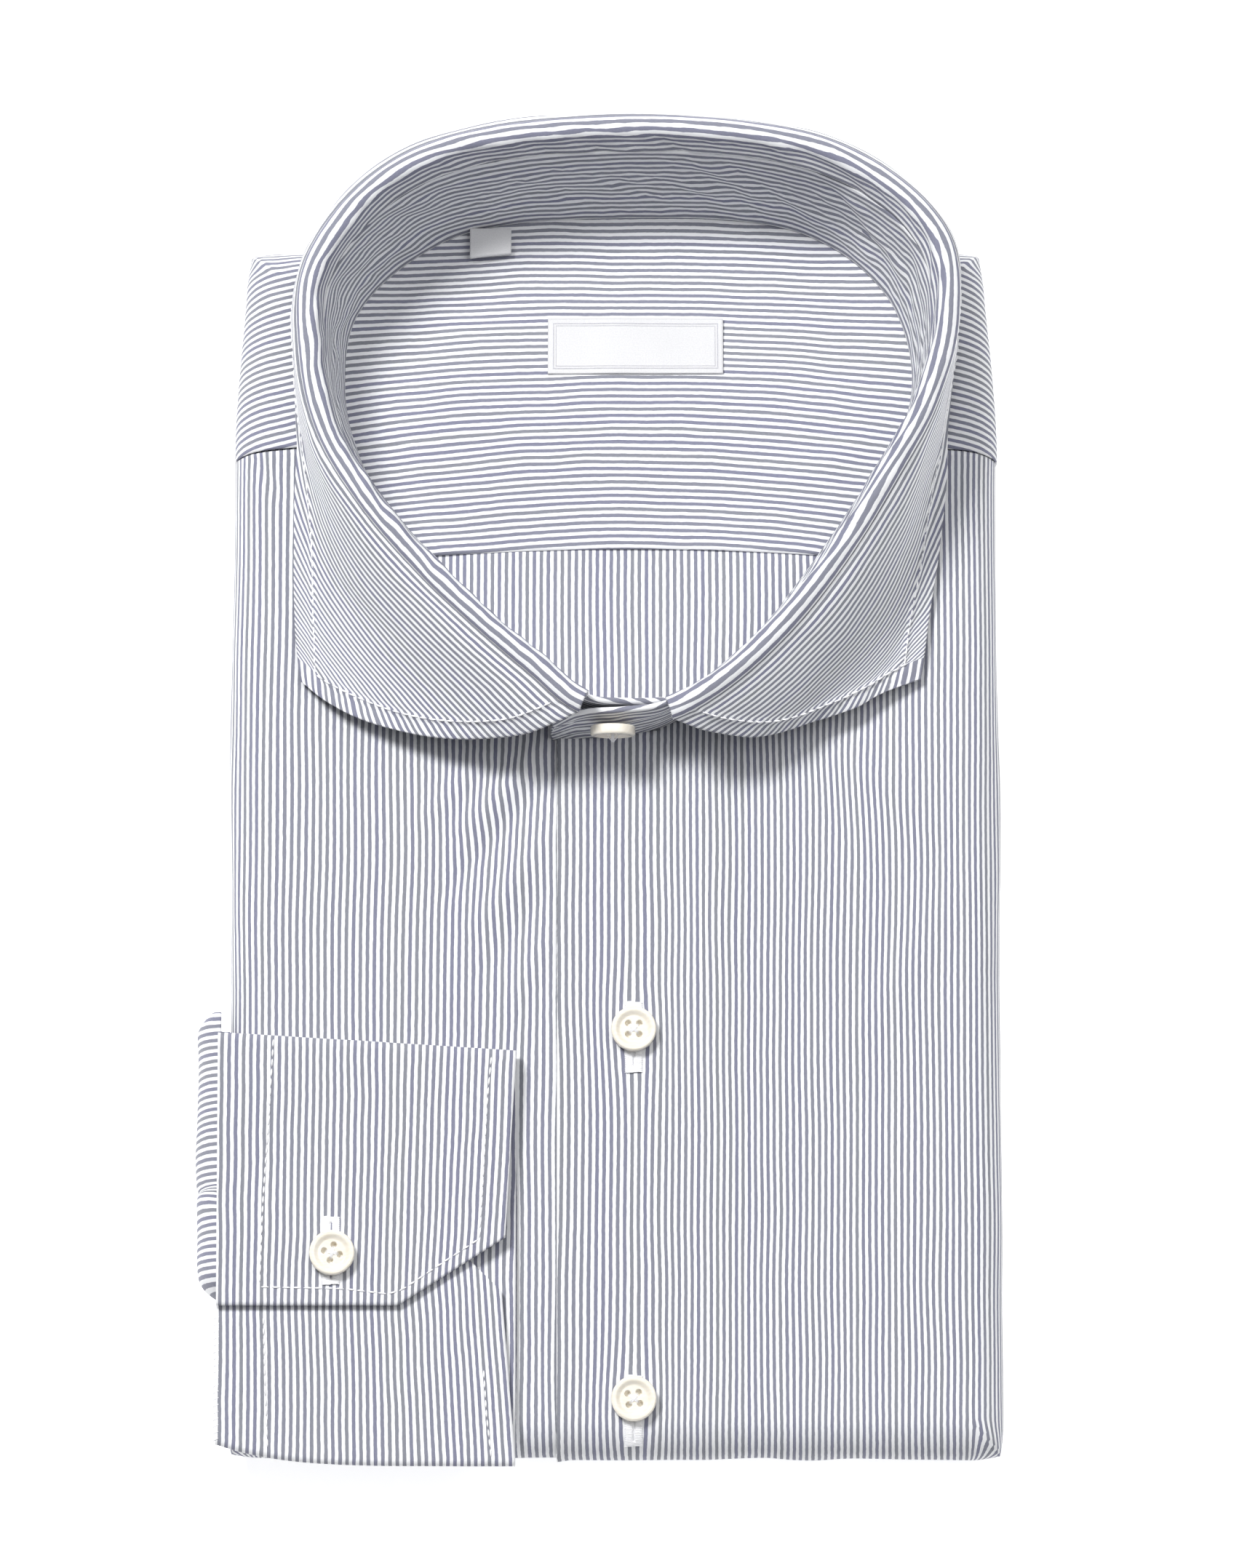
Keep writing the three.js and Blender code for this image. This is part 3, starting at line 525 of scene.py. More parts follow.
def in_neck(x, y, grown=0.0):
    """Whether places of a grid lie inside the neck opening, grown by about so many mm: an
    upward ray crosses its outline an odd number of times."""
    shrink = 1 - grown / NECK_REACH
    x = NECK_CENTRE[0] + (x - NECK_CENTRE[0]) * shrink
    y = NECK_CENTRE[1] + (y - NECK_CENTRE[1]) * shrink
    ends = np.roll(neck_line, -1, axis=0)
    slanting = neck_line[:, 0] != ends[:, 0]
    (ax, ay), (bx, by) = neck_line[slanting].T[..., None, None], ends[slanting].T[..., None, None]
    crosses = (ax > x) != (bx > x)
    above = y < ay + (x - ax) * (by - ay) / (bx - ax)
    return np.logical_xor.reduce(crosses & above, axis=0)


print("neck opening", np.ptp(neck_line, axis=0).round(1), "mm wide and long")

# %% [markdown]
# The two fronts are the largest surfaces. Each is a grid of straight rows and columns on
# the cloth, laid round the stack, with the neck opening left out. Handling leaves them
# gently uneven: long soft swells, a few drag lines beside the placket, and stripes that
# wander a little. The stripes bow round each button, where thread and buttonhole push
# the yarns apart.

# %% Unevenness of the fronts
WALL = 0.6
OVER_EDGE, UNDER_EDGE = -14.6, 18.0
DRAG_LINES = [
    ((-16, 30), (-40, 4), 3.2, 1.3), ((-14, 22), (-44, -12), 3.0, -1.1),
    ((-15, 8), (-36, -22), 3.2, 1.1), ((-15, -6), (-34, -34), 3.0, -0.8),
    ((-15, -18), (-28, -44), 2.6, 0.7), ((-30, 30), (-50, 6), 2.8, 0.7),
    ((52, 34), (84, 2), 5.0, 0.7), ((46, 26), (72, -14), 4.5, -0.6),
    ((88, -8), (60, -52), 5.0, 0.5), ((-92, 106), (-84, 92), 1.8, -0.9),
    ((20, 16), (30, -30), 4.5, 0.5), ((9, -60), (14, -110), 4.0, 0.4),
    ((70, -60), (86, -130), 5.0, 0.5), ((-20, -118), (-17, -150), 2.4, -0.5),
]
HIDDEN_LINES = [
    ((-108, 60), (-96, -20), 4.0, 0.7), ((108, 50), (97, -30), 4.0, 0.7),
    ((-104, -60), (-112, -120), 3.5, -0.7), ((106, -50), (112, -120), 3.5, -0.7),
    ((-60, -158), (-40, -168), 3.5, 0.7), ((40, -158), (62, -168), 3.5, 0.7),
]
BUTTON_PLACES = [(4.8, -46.0), (4.8, -140.2)]
CUT_MARGIN = 0.35  # how far the cloth is cut back beyond the neckline
CLOSER, CLOSER_FROM = 0.11, 12  # the over front's stripes draw closer towards its side
OVER_PHASE, UNDER_PHASE = 0.3, PERIOD / 2  # where each front's stripes begin


def front_relief(u, v):
    """Soft noise at two sizes plus the drag lines."""
    swell = 0.45 * soft_noise(u, v, 46, 1) + 0.22 * soft_noise(u, v, 19, 2)
    return swell + creases(u, v, DRAG_LINES) + creases(u, v, HIDDEN_LINES)


def front_cloth(u, v, seed):
    """Place on the flat cloth: u with a slow wander, pushed aside round the buttons."""
    across = u + 0.6 * soft_noise(u * 0.6, v, 34, seed) + 0.28 * soft_noise(u, v * 0.7, 13, seed + 1)
    across = across + 0.45 * creases(u + 1.5, v, DRAG_LINES)
    for x, y in BUTTON_PLACES:
        across = across - 0.26 * (u - x) * bell(u - x, 6.5) * bell(v - y, 13)
    return np.stack([across, v + 0 * u], -1)


print(len(DRAG_LINES), "drag lines on the fronts")

# %% [markdown]
# A front is a grid from its centre edge round the side, and from below the hem up to the
# seam with the yoke. The over front's edge lifts a little, because it is folded and free,
# and it climbs over the under front near the neck. Its stripes draw closer towards the
# side, where the cloth lies a little askew.

# %% One front as a grid


def seam_y(u):
    """The front seam drops a little towards the sides."""
    return FRONT_SEAM_Y - SEAM_SLOPE * np.clip((np.abs(u) - 70) / 28, 0, 1)


def front_sheet(inner, outer, over):
    """A front from its centre edge (inner) round the side (outer), both in mm of cloth."""
    step = 1.4
    columns = int(abs(outer - inner) / step) + 1
    u = np.linspace(min(inner, outer), max(inner, outer), columns)[None, :]
    share = np.linspace(0, 1, 200)[:, None]
    v = lerp(HEM_FLAT_Y - WRAP, seam_y(u) - 0.2, share)
    relief = front_relief(u, v)
    rise = placket_rise(u, v) if over else 0.0
    free_edge = 0.55 * bell(u - OVER_EDGE, 2.4) if over else 0.0
    points = lay(u, v, -relief - free_edge, rise)
    middle = (points[:-1, :-1] + points[1:, 1:]) / 2
    keep = ~in_neck(middle[..., 0], middle[..., 1], CUT_MARGIN)
    cloth = front_cloth(u, v, 5 if over else 9) + (OVER_PHASE if over else UNDER_PHASE, 0)
    if over:
        cloth[..., 0] += CLOSER * np.clip(u - CLOSER_FROM, 0, 110)
    return points, cloth, keep


print("the front seam drops to", round(float(seam_y(98.0)), 1), "mm at the side")

# %% [markdown]
# The over front ends in a folded edge left of the buttons, and the under front runs on
# beneath it. Both pass round the sides and the hem and end underneath.

# %% The two fronts
FULL = HALF_WIDTH - EDGE_RADIUS + WRAP
over_sheet = front_sheet(OVER_EDGE, FULL, True)
under_sheet = front_sheet(UNDER_EDGE, -FULL, False)
over_front = add_sheets("over_front", [over_sheet], 1.0, COTTON)
under_front = add_sheets("under_front", [under_sheet], WALL, COTTON)


def cloth_area(sheets):
    """Flat area in square metres of the kept cells: the cross product of the sides of
    each cell on the cloth map."""
    total = 0.0
    for flat, keep in sheets:
        across, along = flat[:-1, 1:] - flat[:-1, :-1], flat[1:, :-1] - flat[:-1, :-1]
        cell = np.abs(across[..., 0] * along[..., 1] - across[..., 1] * along[..., 0])
        total += (cell if keep is None else cell[keep]).sum()
    return total / 1e6


for piece, node_name, sheet, inner in (
    (over_front, "front_left", over_sheet, OVER_EDGE),
    (under_front, "front_right", under_sheet, -UNDER_EDGE),
):
    finish_piece(piece, "striped_cotton", node_name)

# %% [markdown]
# The back lies inside up under the fronts and shows through the neck as upright stripes.
# It ends at the yoke's seam, which is arched a little in the middle.

# %% The back
BACK_SEAM_Y, BACK_DEPTH = 79.0, 1.9
BACK_LINES = [((-12, 74), (-16, 44), 3.0, 0.5), ((26, 74), (20, 46), 3.4, -0.5)]


def back_seam(u):
    """The yoke's lower seam, arched a little in the middle."""
    return BACK_SEAM_Y - 0.8 + 1.9 * (1 - np.clip(np.abs(u - 4) / 52, 0, 1) ** 2)


u = np.linspace(-FULL, FULL, 140)[None, :]
share = np.linspace(0, 1, 170)[:, None]
v = lerp(HEM_FLAT_Y - WRAP, back_seam(u) + 2.0, share)
inside = 0.35 * soft_noise(u, v, 30, 21) + creases(u, v, BACK_LINES)
back_points = lay(u, v, BACK_DEPTH - inside * smooth((v - 20) / 20))
back_cloth = np.stack([u + 0.3 * soft_noise(u, v, 22, 22), v + 0 * u], -1)
back = add_sheets("back", [(back_points, back_cloth, None)], WALL, COTTON)
finish_piece(back, "striped_cotton", "back_panel")

# %% [markdown]
# The yoke is double: its outside runs over the shoulders and down behind, and its inside
# is the level stripes behind the neck, joined to the back by a seam. On the shoulders the
# stripes slant, because the yoke is cut straight and the shoulder isn't: the map gains a
# share of the distance from the neck.

# %% The yoke
LINING_DEPTH, LINING_MARGIN = 1.45, 4.0  # the lining runs on beneath the band's foot
YOKE_LINES = [
    ((-94, 150), (-72, 136), 3.0, 0.6), ((92, 152), (76, 132), 3.0, 0.6),
    ((-20, 180), (-30, 192), 3.5, 0.7), ((34, 180), (42, 192), 3.5, 0.7),
]
LINING_TOP = SHOULDER_Y + 20
LINING_LINES = [
    ((-50, 150), (-30, 130), 4.0, 0.5), ((66, 110), (40, 96), 4.0, 0.4),
    ((-58, 118), (-44, 92), 3.4, 0.6), ((-30, 98), (-24, 82), 2.6, 0.5),
    ((10, 100), (14, 82), 3.0, -0.4),
]


def lining_ripple(u, v):
    """Unevenness of the yoke's lining, which the label on it shares."""
    noise = 0.4 * soft_noise(u, v, 24, 33) + 0.16 * soft_noise(u, v, 9, 34)
    return noise + creases(u, v, LINING_LINES)


def yoke_top(u):
    """Where the yoke's upper end turns: further out behind the collar."""
    return SHOULDER_FLAT_Y + 16 * (1 - smooth((np.abs(u - 4) - 38) / 34))


u = np.linspace(-(FULL - 2), FULL - 2, 170)[None, :]
share = np.linspace(0, 1, 80)[:, None]
v = lerp(seam_y(u) + 0.2, yoke_top(u) + WRAP, share)
swell = 0.4 * soft_noise(u, v, 26, 31) + creases(u, v, YOKE_LINES)
yoke_points = lay(u, v, -swell, top_flat=yoke_top(u))
middle = (yoke_points[:-1, :-1] + yoke_points[1:, 1:]) / 2
yoke_keep = ~in_neck(middle[..., 0], middle[..., 1], CUT_MARGIN)
below_collar = (middle[..., 1] < 140) & (np.abs(middle[..., 0]) < 60)
yoke_keep &= ~below_collar
sideways = 0.235 * np.maximum(0, np.abs(u) - 56)
yoke_map = np.stack([v + sideways + 0.35 * soft_noise(u, v, 24, 32), u + 0 * v], -1)

u = np.linspace(-86, 92, 120)[None, :]
share = np.linspace(0, 1, 90)[:, None]
v = lerp(back_seam(u), 173.0 + 0 * u, share)
lining_points = lay(u, v, LINING_DEPTH - lining_ripple(u, v), top_flat=LINING_TOP)
middle = (lining_points[:-1, :-1] + lining_points[1:, 1:]) / 2
lining_keep = (middle[..., 1] < 100) | in_neck(middle[..., 0], middle[..., 1], LINING_MARGIN)
arch = 0.0011 * (u - 4) ** 2 * (1 - 0.5 * smooth((v - 100) / 60))
lining_wander = 0.35 * soft_noise(u, v, 20, 35) + 0.15 * soft_noise(u, v, 8, 36)
lining_map = np.stack([v + arch + lining_wander, u + 0 * v], -1)
yoke_sheets = [(yoke_points, yoke_map, yoke_keep), (lining_points, lining_map, lining_keep)]
yoke = add_sheets("double_yoke", yoke_sheets, WALL, COTTON)
finish_piece(yoke, "striped_cotton", "yoke")
print("yoke grid", yoke_points.shape[:2], "lining grid", lining_points.shape[:2])

# %% [markdown]
# Under all this lie the folded-back sides, sleeves and tail. They are out of sight, so
# they are one rounded pad, but its edge still shows from low down and from behind. The
# edge is therefore layered: a profile of small round bulges, one for each turn of cloth,
# is carried round the outline of the stack.

# %% The folded core
LAYERS, CORE_BELOW = 5, 3.6
CORE_HALF_WIDTH, CORE_MIDDLE_Y, CORE_HALF_LENGTH = 93.5, 2.0, 152.0


def core_outline(turn):
    """A rectangle with round corners: a superellipse of power 7 in the plan, whose upper
    end follows the yoke out behind the collar."""
    power = 2 / 7
    cosine, sine = np.cos(turn), np.sin(turn)
    x = CORE_HALF_WIDTH * np.sign(cosine) * np.abs(cosine) ** power
    y = CORE_MIDDLE_Y + CORE_HALF_LENGTH * np.sign(sine) * np.abs(sine) ** power
    y = y + 14 * smooth((y - 120) / 34) * (1 - smooth((np.abs(x - 4) - 38) / 34))
    return x, y


def core_top(x, y):
    """Height of the core's top: a little below the cloth that lies on it."""
    return np.maximum(stack_height(x, y) - CORE_BELOW, 2)


turn = np.linspace(0, 2 * np.pi, 321)[None, :]
rise_share = np.linspace(0, 1, 61)[:, None]
edge_x, edge_y = core_outline(turn)
layered = np.abs(np.sin(np.pi * LAYERS * rise_share)) ** 0.6
uneven = soft_noise(np.cos(turn) * 90, np.sin(turn) * 150 + rise_share * 40, 22, 41)
drawn_in = 1 - (0.010 + 0.03 * (2 * rise_share - 1) ** 4 - 0.016 * layered + 0.006 * uneven)
inner_rings = np.linspace(0, 1, 7)[1:, None]
side_x, side_y = edge_x * drawn_in, CORE_MIDDLE_Y + (edge_y - CORE_MIDDLE_Y) * drawn_in
side = np.stack([side_x, side_y, rise_share * core_top(side_x, side_y)], -1)


def rings_inwards(x, y, shares):
    """An outline drawn in towards the core's middle by shares."""
    return x * shares, CORE_MIDDLE_Y + (y - CORE_MIDDLE_Y) * shares


lower_x, lower_y = rings_inwards(side_x[:1], side_y[:1], inner_rings[:-1])
upper_x, upper_y = rings_inwards(side_x[-1:], side_y[-1:], inner_rings[:-1][::-1])
lower = np.stack([lower_x, lower_y, 0 * lower_x], -1)
upper = np.stack([upper_x, upper_y, core_top(upper_x, upper_y)], -1)
core_points = np.concatenate([lower, side, upper])
core_cloth = core_points[..., :2].copy()
band = slice(len(lower), len(lower) + len(side))
core_cloth[band, :, 1] += 30 * rise_share
core_faces = grid_faces(*core_points.shape[:2])
core = add_mesh("folded_layers", core_points, core_faces, core_cloth, COTTON)
print("core grid", core_points.shape[:2])

# %% [markdown]
# A grid wrapped round an axis is still open: its first and last columns only touch, and
# there is a small hole at each pole. Merging the doubles, filling the holes and turning
# all faces outwards makes it a closed solid. The buttons use the same step.

# %% Closing the core


def close_rings(piece, columns):
    """Joins the seam of a closed surface and fills the small holes at its two poles."""
    work = bmesh.new()
    work.from_mesh(piece.data)
    bmesh.ops.remove_doubles(work, verts=work.verts, dist=1e-6)
    open_edges = [edge for edge in work.edges if edge.is_boundary]
    bmesh.ops.holes_fill(work, edges=open_edges, sides=columns + 1)
    bmesh.ops.recalc_face_normals(work, faces=work.faces)
    work.to_mesh(piece.data)
    work.free()
    piece.data.polygons.foreach_set("use_smooth", np.ones(len(piece.data.polygons), bool))


close_rings(core, 321)
finish_piece(core, "striped_cotton", "folded_core")
print("folded_layers", len(core.data.polygons), "faces")

# %% [markdown]
# The yoke rests on the core. Its area is that of the kept cells of both layers: much less
# than width times depth, because the neck opening and what the collar hides are left out.

# %% [markdown]
# A dress collar is two pieces. The stand is a stiffened band sewn to the neckline, and the
# fall is sewn to the stand's upper edge, rises a little, rolls over and comes down outside
# as two leaves. Inside the neck the band is puckered: its lining is a little longer than
# the rest, so it gathers between the two seams. First come the band's foot and top at
# each share of its run, and the gathers, which are noise that is long up the band and
# short along it.

# %% Foot, top and gathers
STAND_SHARE, ROLL = 0.8, 2.4
COLLAR_WALL, HALF_BAND = 1.2, 0.55


def stand_foot(x, y):
    """Where the band stands: sewn to the fronts, and behind the neck to the lining."""
    on_lining = 1.0 * smooth((y - 90) / 30)
    return stack_height(x, y) - 0.3 - on_lining + placket_rise(np.abs(x), y)


def band_ends(share):
    """The foot and the top of the band at shares of its run."""
    neck, top = through(NECK, share), through(TOP, share)
    foot = np.concatenate([neck, stand_foot(neck[..., :1], neck[..., 1:])], -1)
    return foot, top


def gathers(run, height, seed):
    """Puckers of the lining: noise stretched across the band, in two sizes."""
    slanted = run + 0.5 * height
    wide = soft_noise(slanted, height * 0.5, 6.5, seed)
    return wide + 0.6 * soft_noise(slanted, height * 0.9, 3.4, seed + 1)


def leaving(share):
    """One along the band, falling to nothing as a quarter circle at its two ends."""
    end = np.clip(1 - np.minimum(share, 1 - share) / 0.006, 0, 1)
    return np.sqrt(1 - end**2)


print("the band is sewn on", len(NECK), "stations")

# %% [markdown]
# The stand is one grid in section: up its inner face, over the top and down its outer
# face. Half the band's thickness goes to either side of the wall between foot and seam,
# and it closes to nothing at both ends. The ends crumple more, where they are buttoned
# over one another.

# %% The collar stand
share = np.linspace(0, 1, 520)[None, :]
rise = np.linspace(0, 1, 46)[:, None, None]
foot, top = band_ends(share)
seam_line = lerp(foot, top, STAND_SHARE)
middle = lerp(foot, seam_line, rise)
outwards = normals_of(middle)
up = (seam_line - foot) / np.linalg.norm(seam_line - foot, axis=-1, keepdims=True)
run, height = run_length(middle, 1), run_length(middle, 0)
total = height[-1:]
between_seams = np.sin(np.pi * np.clip(height / total, 0, 1)) ** 0.6
pucker = gathers(run, height, 51)
crumple = 1 + 1.2 * smooth((np.abs(share - 0.5) - 0.44) / 0.03)
inner_off = (HALF_BAND * leaving(share) + 0.62 * pucker * between_seams * crumple)[..., None]
inner_face = middle + outwards * inner_off
turn = np.linspace(0, np.pi, 9)[1:-1, None, None]
over_top = middle[-1:] + HALF_BAND * leaving(share)[..., None] * (
    outwards[-1:] * np.cos(turn) + up * np.sin(turn)
)
outer_pucker = 0.3 * gathers(run, height, 57) * between_seams * crumple
outer_off = (HALF_BAND * leaving(share) + outer_pucker)[..., None]
outer_face = (middle - outwards * outer_off)[::-3]
stand_points = np.concatenate([inner_face, over_top, outer_face])
walked = run_length(stand_points, 0)
STRIPES_TIGHTENED = 0.8
stand_run = np.broadcast_to(run[:1], walked.shape)
stand_wander = 0.7 * gathers(stand_run + 3, walked, 53) * np.abs(np.sin(np.pi * walked / total))
stand_map = np.stack([STRIPES_TIGHTENED * walked + stand_wander, stand_run], -1)
stand = add_sheets("collar_band", [(stand_points, stand_map, None)], 0.5, COTTON, 0.0)
finish_piece(stand, "striped_cotton", "collar_stand")

# %% [markdown]
# The fall starts inside, at the seam above the stand. It is one grid: a short rise, half
# a turn over the roll, and the leaf. Each leaf leaves the roll almost flat, drops in the
# middle and lies nearly flat again along its border. The stripes are measured from the
# fold, as the cloth was cut.

# %% The fall's shape
BORDER = 6.0
LEFT_FRONT_EDGE = [
    (-15.8, 28.3, 46), (-22.8, 26.7, 42), (-33.4, 26.6, 37), (-44.1, 27.7, 33),
    (-54.7, 30.1, 30.5), (-65.5, 34, 28.5), (-72.6, 38.1, 27),
]
RIGHT_FRONT_EDGE = [
    (23, 27.4, 43.5), (35.3, 27.3, 37), (48.5, 31.6, 31.5), (61, 36.7, 28.5), (68.5, 41, 27),
]


def fall_grid(columns, rise_rows, roll_rows, leaf_rows):
    """Rows from the inner seam over the roll to the leaf's edge. On the leaf the plan
    moves by down + 0.6 w and the height by down - 0.8 w, with w = sin(2 pi down) / 2 pi.
    Near the front it is drawn to the front edge's own curve, by a falling square."""
    across = np.linspace(0, 1, columns)
    share = lerp(LEAF_FROM / LAST, LEAF_TO / LAST, across)
    foot, top = band_ends(share)
    edge = through(EDGE, across)
    fold_run = np.gradient(top, axis=0)
    out = np.stack([-fold_run[:, 1], fold_run[:, 0], 0 * fold_run[:, 0]], -1)
    out /= np.linalg.norm(out, axis=-1, keepdims=True)
    up = np.array([0, 0, 1.0])
    seam = lerp(foot, top, STAND_SHARE) + 0.9 * up
    roll_foot = top - ROLL * up
    rise = lerp(seam, roll_foot, np.linspace(0, 1, rise_rows)[:-1, None, None])
    angle = np.pi * np.linspace(0, 1, roll_rows)[:-1, None, None]
    roll = roll_foot + ROLL * (out * (1 - np.cos(angle)) + up * np.sin(angle))
    down = np.linspace(0, 1, leaf_rows)[:, None]
    wave = np.sin(2 * np.pi * down) / (2 * np.pi)
    leaf_top = roll_foot + 2 * ROLL * out
    leaf = lerp(leaf_top, edge, (down + 0.6 * wave)[..., None] + 0 * leaf_top)
    leaf[..., 2] = lerp(leaf_top[:, 2], edge[:, 2], down - 0.8 * wave)
    for corner, line, away in ((0, LEFT_FRONT_EDGE, across), (-1, RIGHT_FRONT_EDGE, 1 - across)):
        front_edge = through([leaf_top[corner], *line, edge[corner]], down[:, 0])
        pull = (np.clip(1 - away / 0.34, 0, 1) ** 2)[None, :, None]
        leaf = leaf + pull * (front_edge - leaf[:, corner])[:, None]
    return np.concatenate([rise, roll, leaf]), len(rise), len(rise) + len(roll)


fall_points, roll_at, leaf_at = fall_grid(400, 10, 16, 84)
print("fall grid", fall_points.shape[:2], "roll starts at row", roll_at)

# %% [markdown]
# Inside the row of stitches the border is a little thicker, with a groove along the row.
# The distance to the nearest edge comes from the smaller of two distances, blended
# smoothly at the points. The inner rise shares the band's puckers, the leaf sags a
# little, and within the border the stripes meet the front edge square.

# %% The collar fall
run, walked = run_length(fall_points, 1), run_length(fall_points, 0)
fold_at = (roll_at + leaf_at) // 2
from_fold = walked - walked[fold_at]
to_edge = walked[-1:] - walked
to_front = np.minimum(run, run[:, -1:] - run)
rounded_min = -2.0 * np.log(np.exp(-to_edge / 2.0) + np.exp(-to_front / 2.0))
is_leaf = (np.arange(len(fall_points)) >= leaf_at)[:, None]
border = np.where(is_leaf, rounded_min, 40.0)
leaf_share = smooth((np.arange(len(fall_points))[:, None] - leaf_at) / 12)
groove = -0.42 * bell(border - BORDER, 0.9) + 0.16 * (1 - smooth((border - BORDER) / 2))
ripples = 0.22 * soft_noise(run, border, 6.5, 61) * bell(border - 4, 4)
sag = leaf_share * (0.5 * soft_noise(run, from_fold, 24, 62) + 0.2 * soft_noise(run, from_fold, 9, 63))
inner_side = 1 - smooth((np.arange(len(fall_points))[:, None] - roll_at) / (leaf_at - roll_at))
inner_pucker = 0.4 * inner_side * gathers(run, from_fold, 64)
shift = groove + ripples + sag + inner_pucker
facing = np.where(is_leaf, -1, 1)[..., None]
fall_points = fall_points + normals_of(fall_points) * shift[..., None] * facing

square = np.argmax(to_front[:, : to_front.shape[1] // 2] >= BORDER, axis=1)
rows = np.arange(len(fall_points))
half = to_front.shape[1] // 2
squared = from_fold.copy()
left = from_fold[rows, square][:, None]
right = from_fold[rows, to_front.shape[1] - 1 - square][:, None]
near_left = is_leaf & (to_front < BORDER) & (np.arange(to_front.shape[1]) < half)
near_right = is_leaf & (to_front < BORDER) & (np.arange(to_front.shape[1]) >= half)
squared = np.where(near_left, left, np.where(near_right, right, squared))
fall_wander = 0.25 * soft_noise(run, from_fold, 15, 65)
fall_wander = fall_wander + 0.4 * inner_side * gathers(run, from_fold, 66)
fall_map = np.stack([squared + fall_wander, run], -1)
fall = add_sheets("collar_leaves", [(fall_points, fall_map, None)], COLLAR_WALL, COTTON, 0.0)
finish_piece(fall, "striped_cotton", "collar_fall")
fall_area = cloth_area([(np.stack([walked, run], -1), None)])
fall_flat = (run[fold_at, -1] / 1000, walked[-1].max() / 1000)
print("fall", np.round(fall_flat, 3), "area", round(fall_area, 4))
fall_area = min(fall_area, fall_flat[0] * fall_flat[1])

# %% [markdown]
# The barrel cuff is brought round onto the front and lies open in a flat spiral: the
# buttoned flap on top, over a fold at its upper end, a back layer, a second fold at the
# hem, and the underlap that ends beneath the flap. One strip follows that path, with its
# stripes upright.

# %% The cuff
CUFF_LEFT, CUFF_RIGHT, CUFF_WALL = -100.4, -25.0, 1.1
BACK_LEVEL, UNDER_LEVEL, FLAP_LEVEL = 1.25, 3.25, 5.25
CUFF_GAP, FOLD_IN = 0.3, 0.75  # above the front; and how far a fold's arc is drawn in


def cuff_grid(columns):
    """The strip's path in rows, from the flap's end to the underlap's end. Flat runs are
    straight, the folds are half circles, and heights are measured from the fronts."""
    x = np.linspace(CUFF_LEFT, CUFF_RIGHT, columns)[None, :]
    across = (x - CUFF_LEFT) / (CUFF_RIGHT - CUFF_LEFT)
    top_y = lerp(-46.7, -51.4, across)
    bottom_y = -157.6 + 5.5 * np.clip((CUFF_RIGHT - x) / 75, 0, 1) ** 5
    flap_y = -117 + np.maximum(0, x + 53) * 0.62
    top_radius, bottom_radius = (FLAP_LEVEL - BACK_LEVEL) / 2, (UNDER_LEVEL - BACK_LEVEL) / 2
    top_centre = top_y - top_radius - FOLD_IN
    bottom_centre = bottom_y + bottom_radius + FOLD_IN

    def stretch(rows):
        return np.linspace(0, 1, rows)[:-1, None]

    s = stretch(62)
    flap = (x - 2.6 * across * (1 - s), lerp(flap_y, top_centre, s), FLAP_LEVEL + 0 * s * x)
    s = stretch(14)
    level = lerp(BACK_LEVEL, FLAP_LEVEL, 0.5 + 0.5 * np.cos(np.pi * s))
    over = (x + 0 * s, top_centre + top_radius * np.sin(np.pi * s), level + 0 * x)
    s = stretch(50)
    behind = (x + 0 * s, lerp(top_centre, bottom_centre, s), BACK_LEVEL + 0 * s * x)
    s = stretch(14)
    level = lerp(BACK_LEVEL, UNDER_LEVEL, 0.5 - 0.5 * np.cos(np.pi * s))
    under = (x + 0 * s, bottom_centre - bottom_radius * np.sin(np.pi * s), level + 0 * x)
    s = np.linspace(0, 1, 50)[:, None]
    lap_end = -98 - np.maximum(0, x + 41) * 0.95
    lap = (x - 3.5 * across * s, lerp(bottom_centre, lap_end, s), UNDER_LEVEL + 0 * s * x)
    stretches = (flap, over, behind, under, lap)
    return [np.concatenate([part[axis] for part in stretches]) for axis in range(3)]


def cuff_height(x, y, level):
    """Height of the cuff's cloth over the front, with its slight unevenness."""
    bumps = 0.16 * soft_noise(x, y, 16, 71) + 0.1 * soft_noise(x, y, 6, 72)
    return stack_height(x, y) + CUFF_GAP + level + bumps


cuff_x, cuff_y, cuff_level = cuff_grid(86)
cuff_points = np.stack([cuff_x, cuff_y, cuff_height(cuff_x, cuff_y, cuff_level)], -1)
cuff_run = run_length(cuff_points, 0)
across = np.broadcast_to(np.linspace(CUFF_LEFT, CUFF_RIGHT, 86)[None, :], cuff_x.shape)
wander = 0.3 * soft_noise(across, cuff_run, 22, 73) + 0.14 * soft_noise(across, cuff_run, 9, 74)
cuff_map = np.stack([across + wander, cuff_run], -1)
cuff = add_sheets("barrel_cuff", [(cuff_points, cuff_map, None)], CUFF_WALL, COTTON, 0.0)
finish_piece(cuff, "striped_cotton", "cuff")

# %% [markdown]
# The flattened sleeve comes out from under the cuff, turns round the shirt's side and
# goes back in beneath. It shows as a narrow strip of level stripes with one pleat.

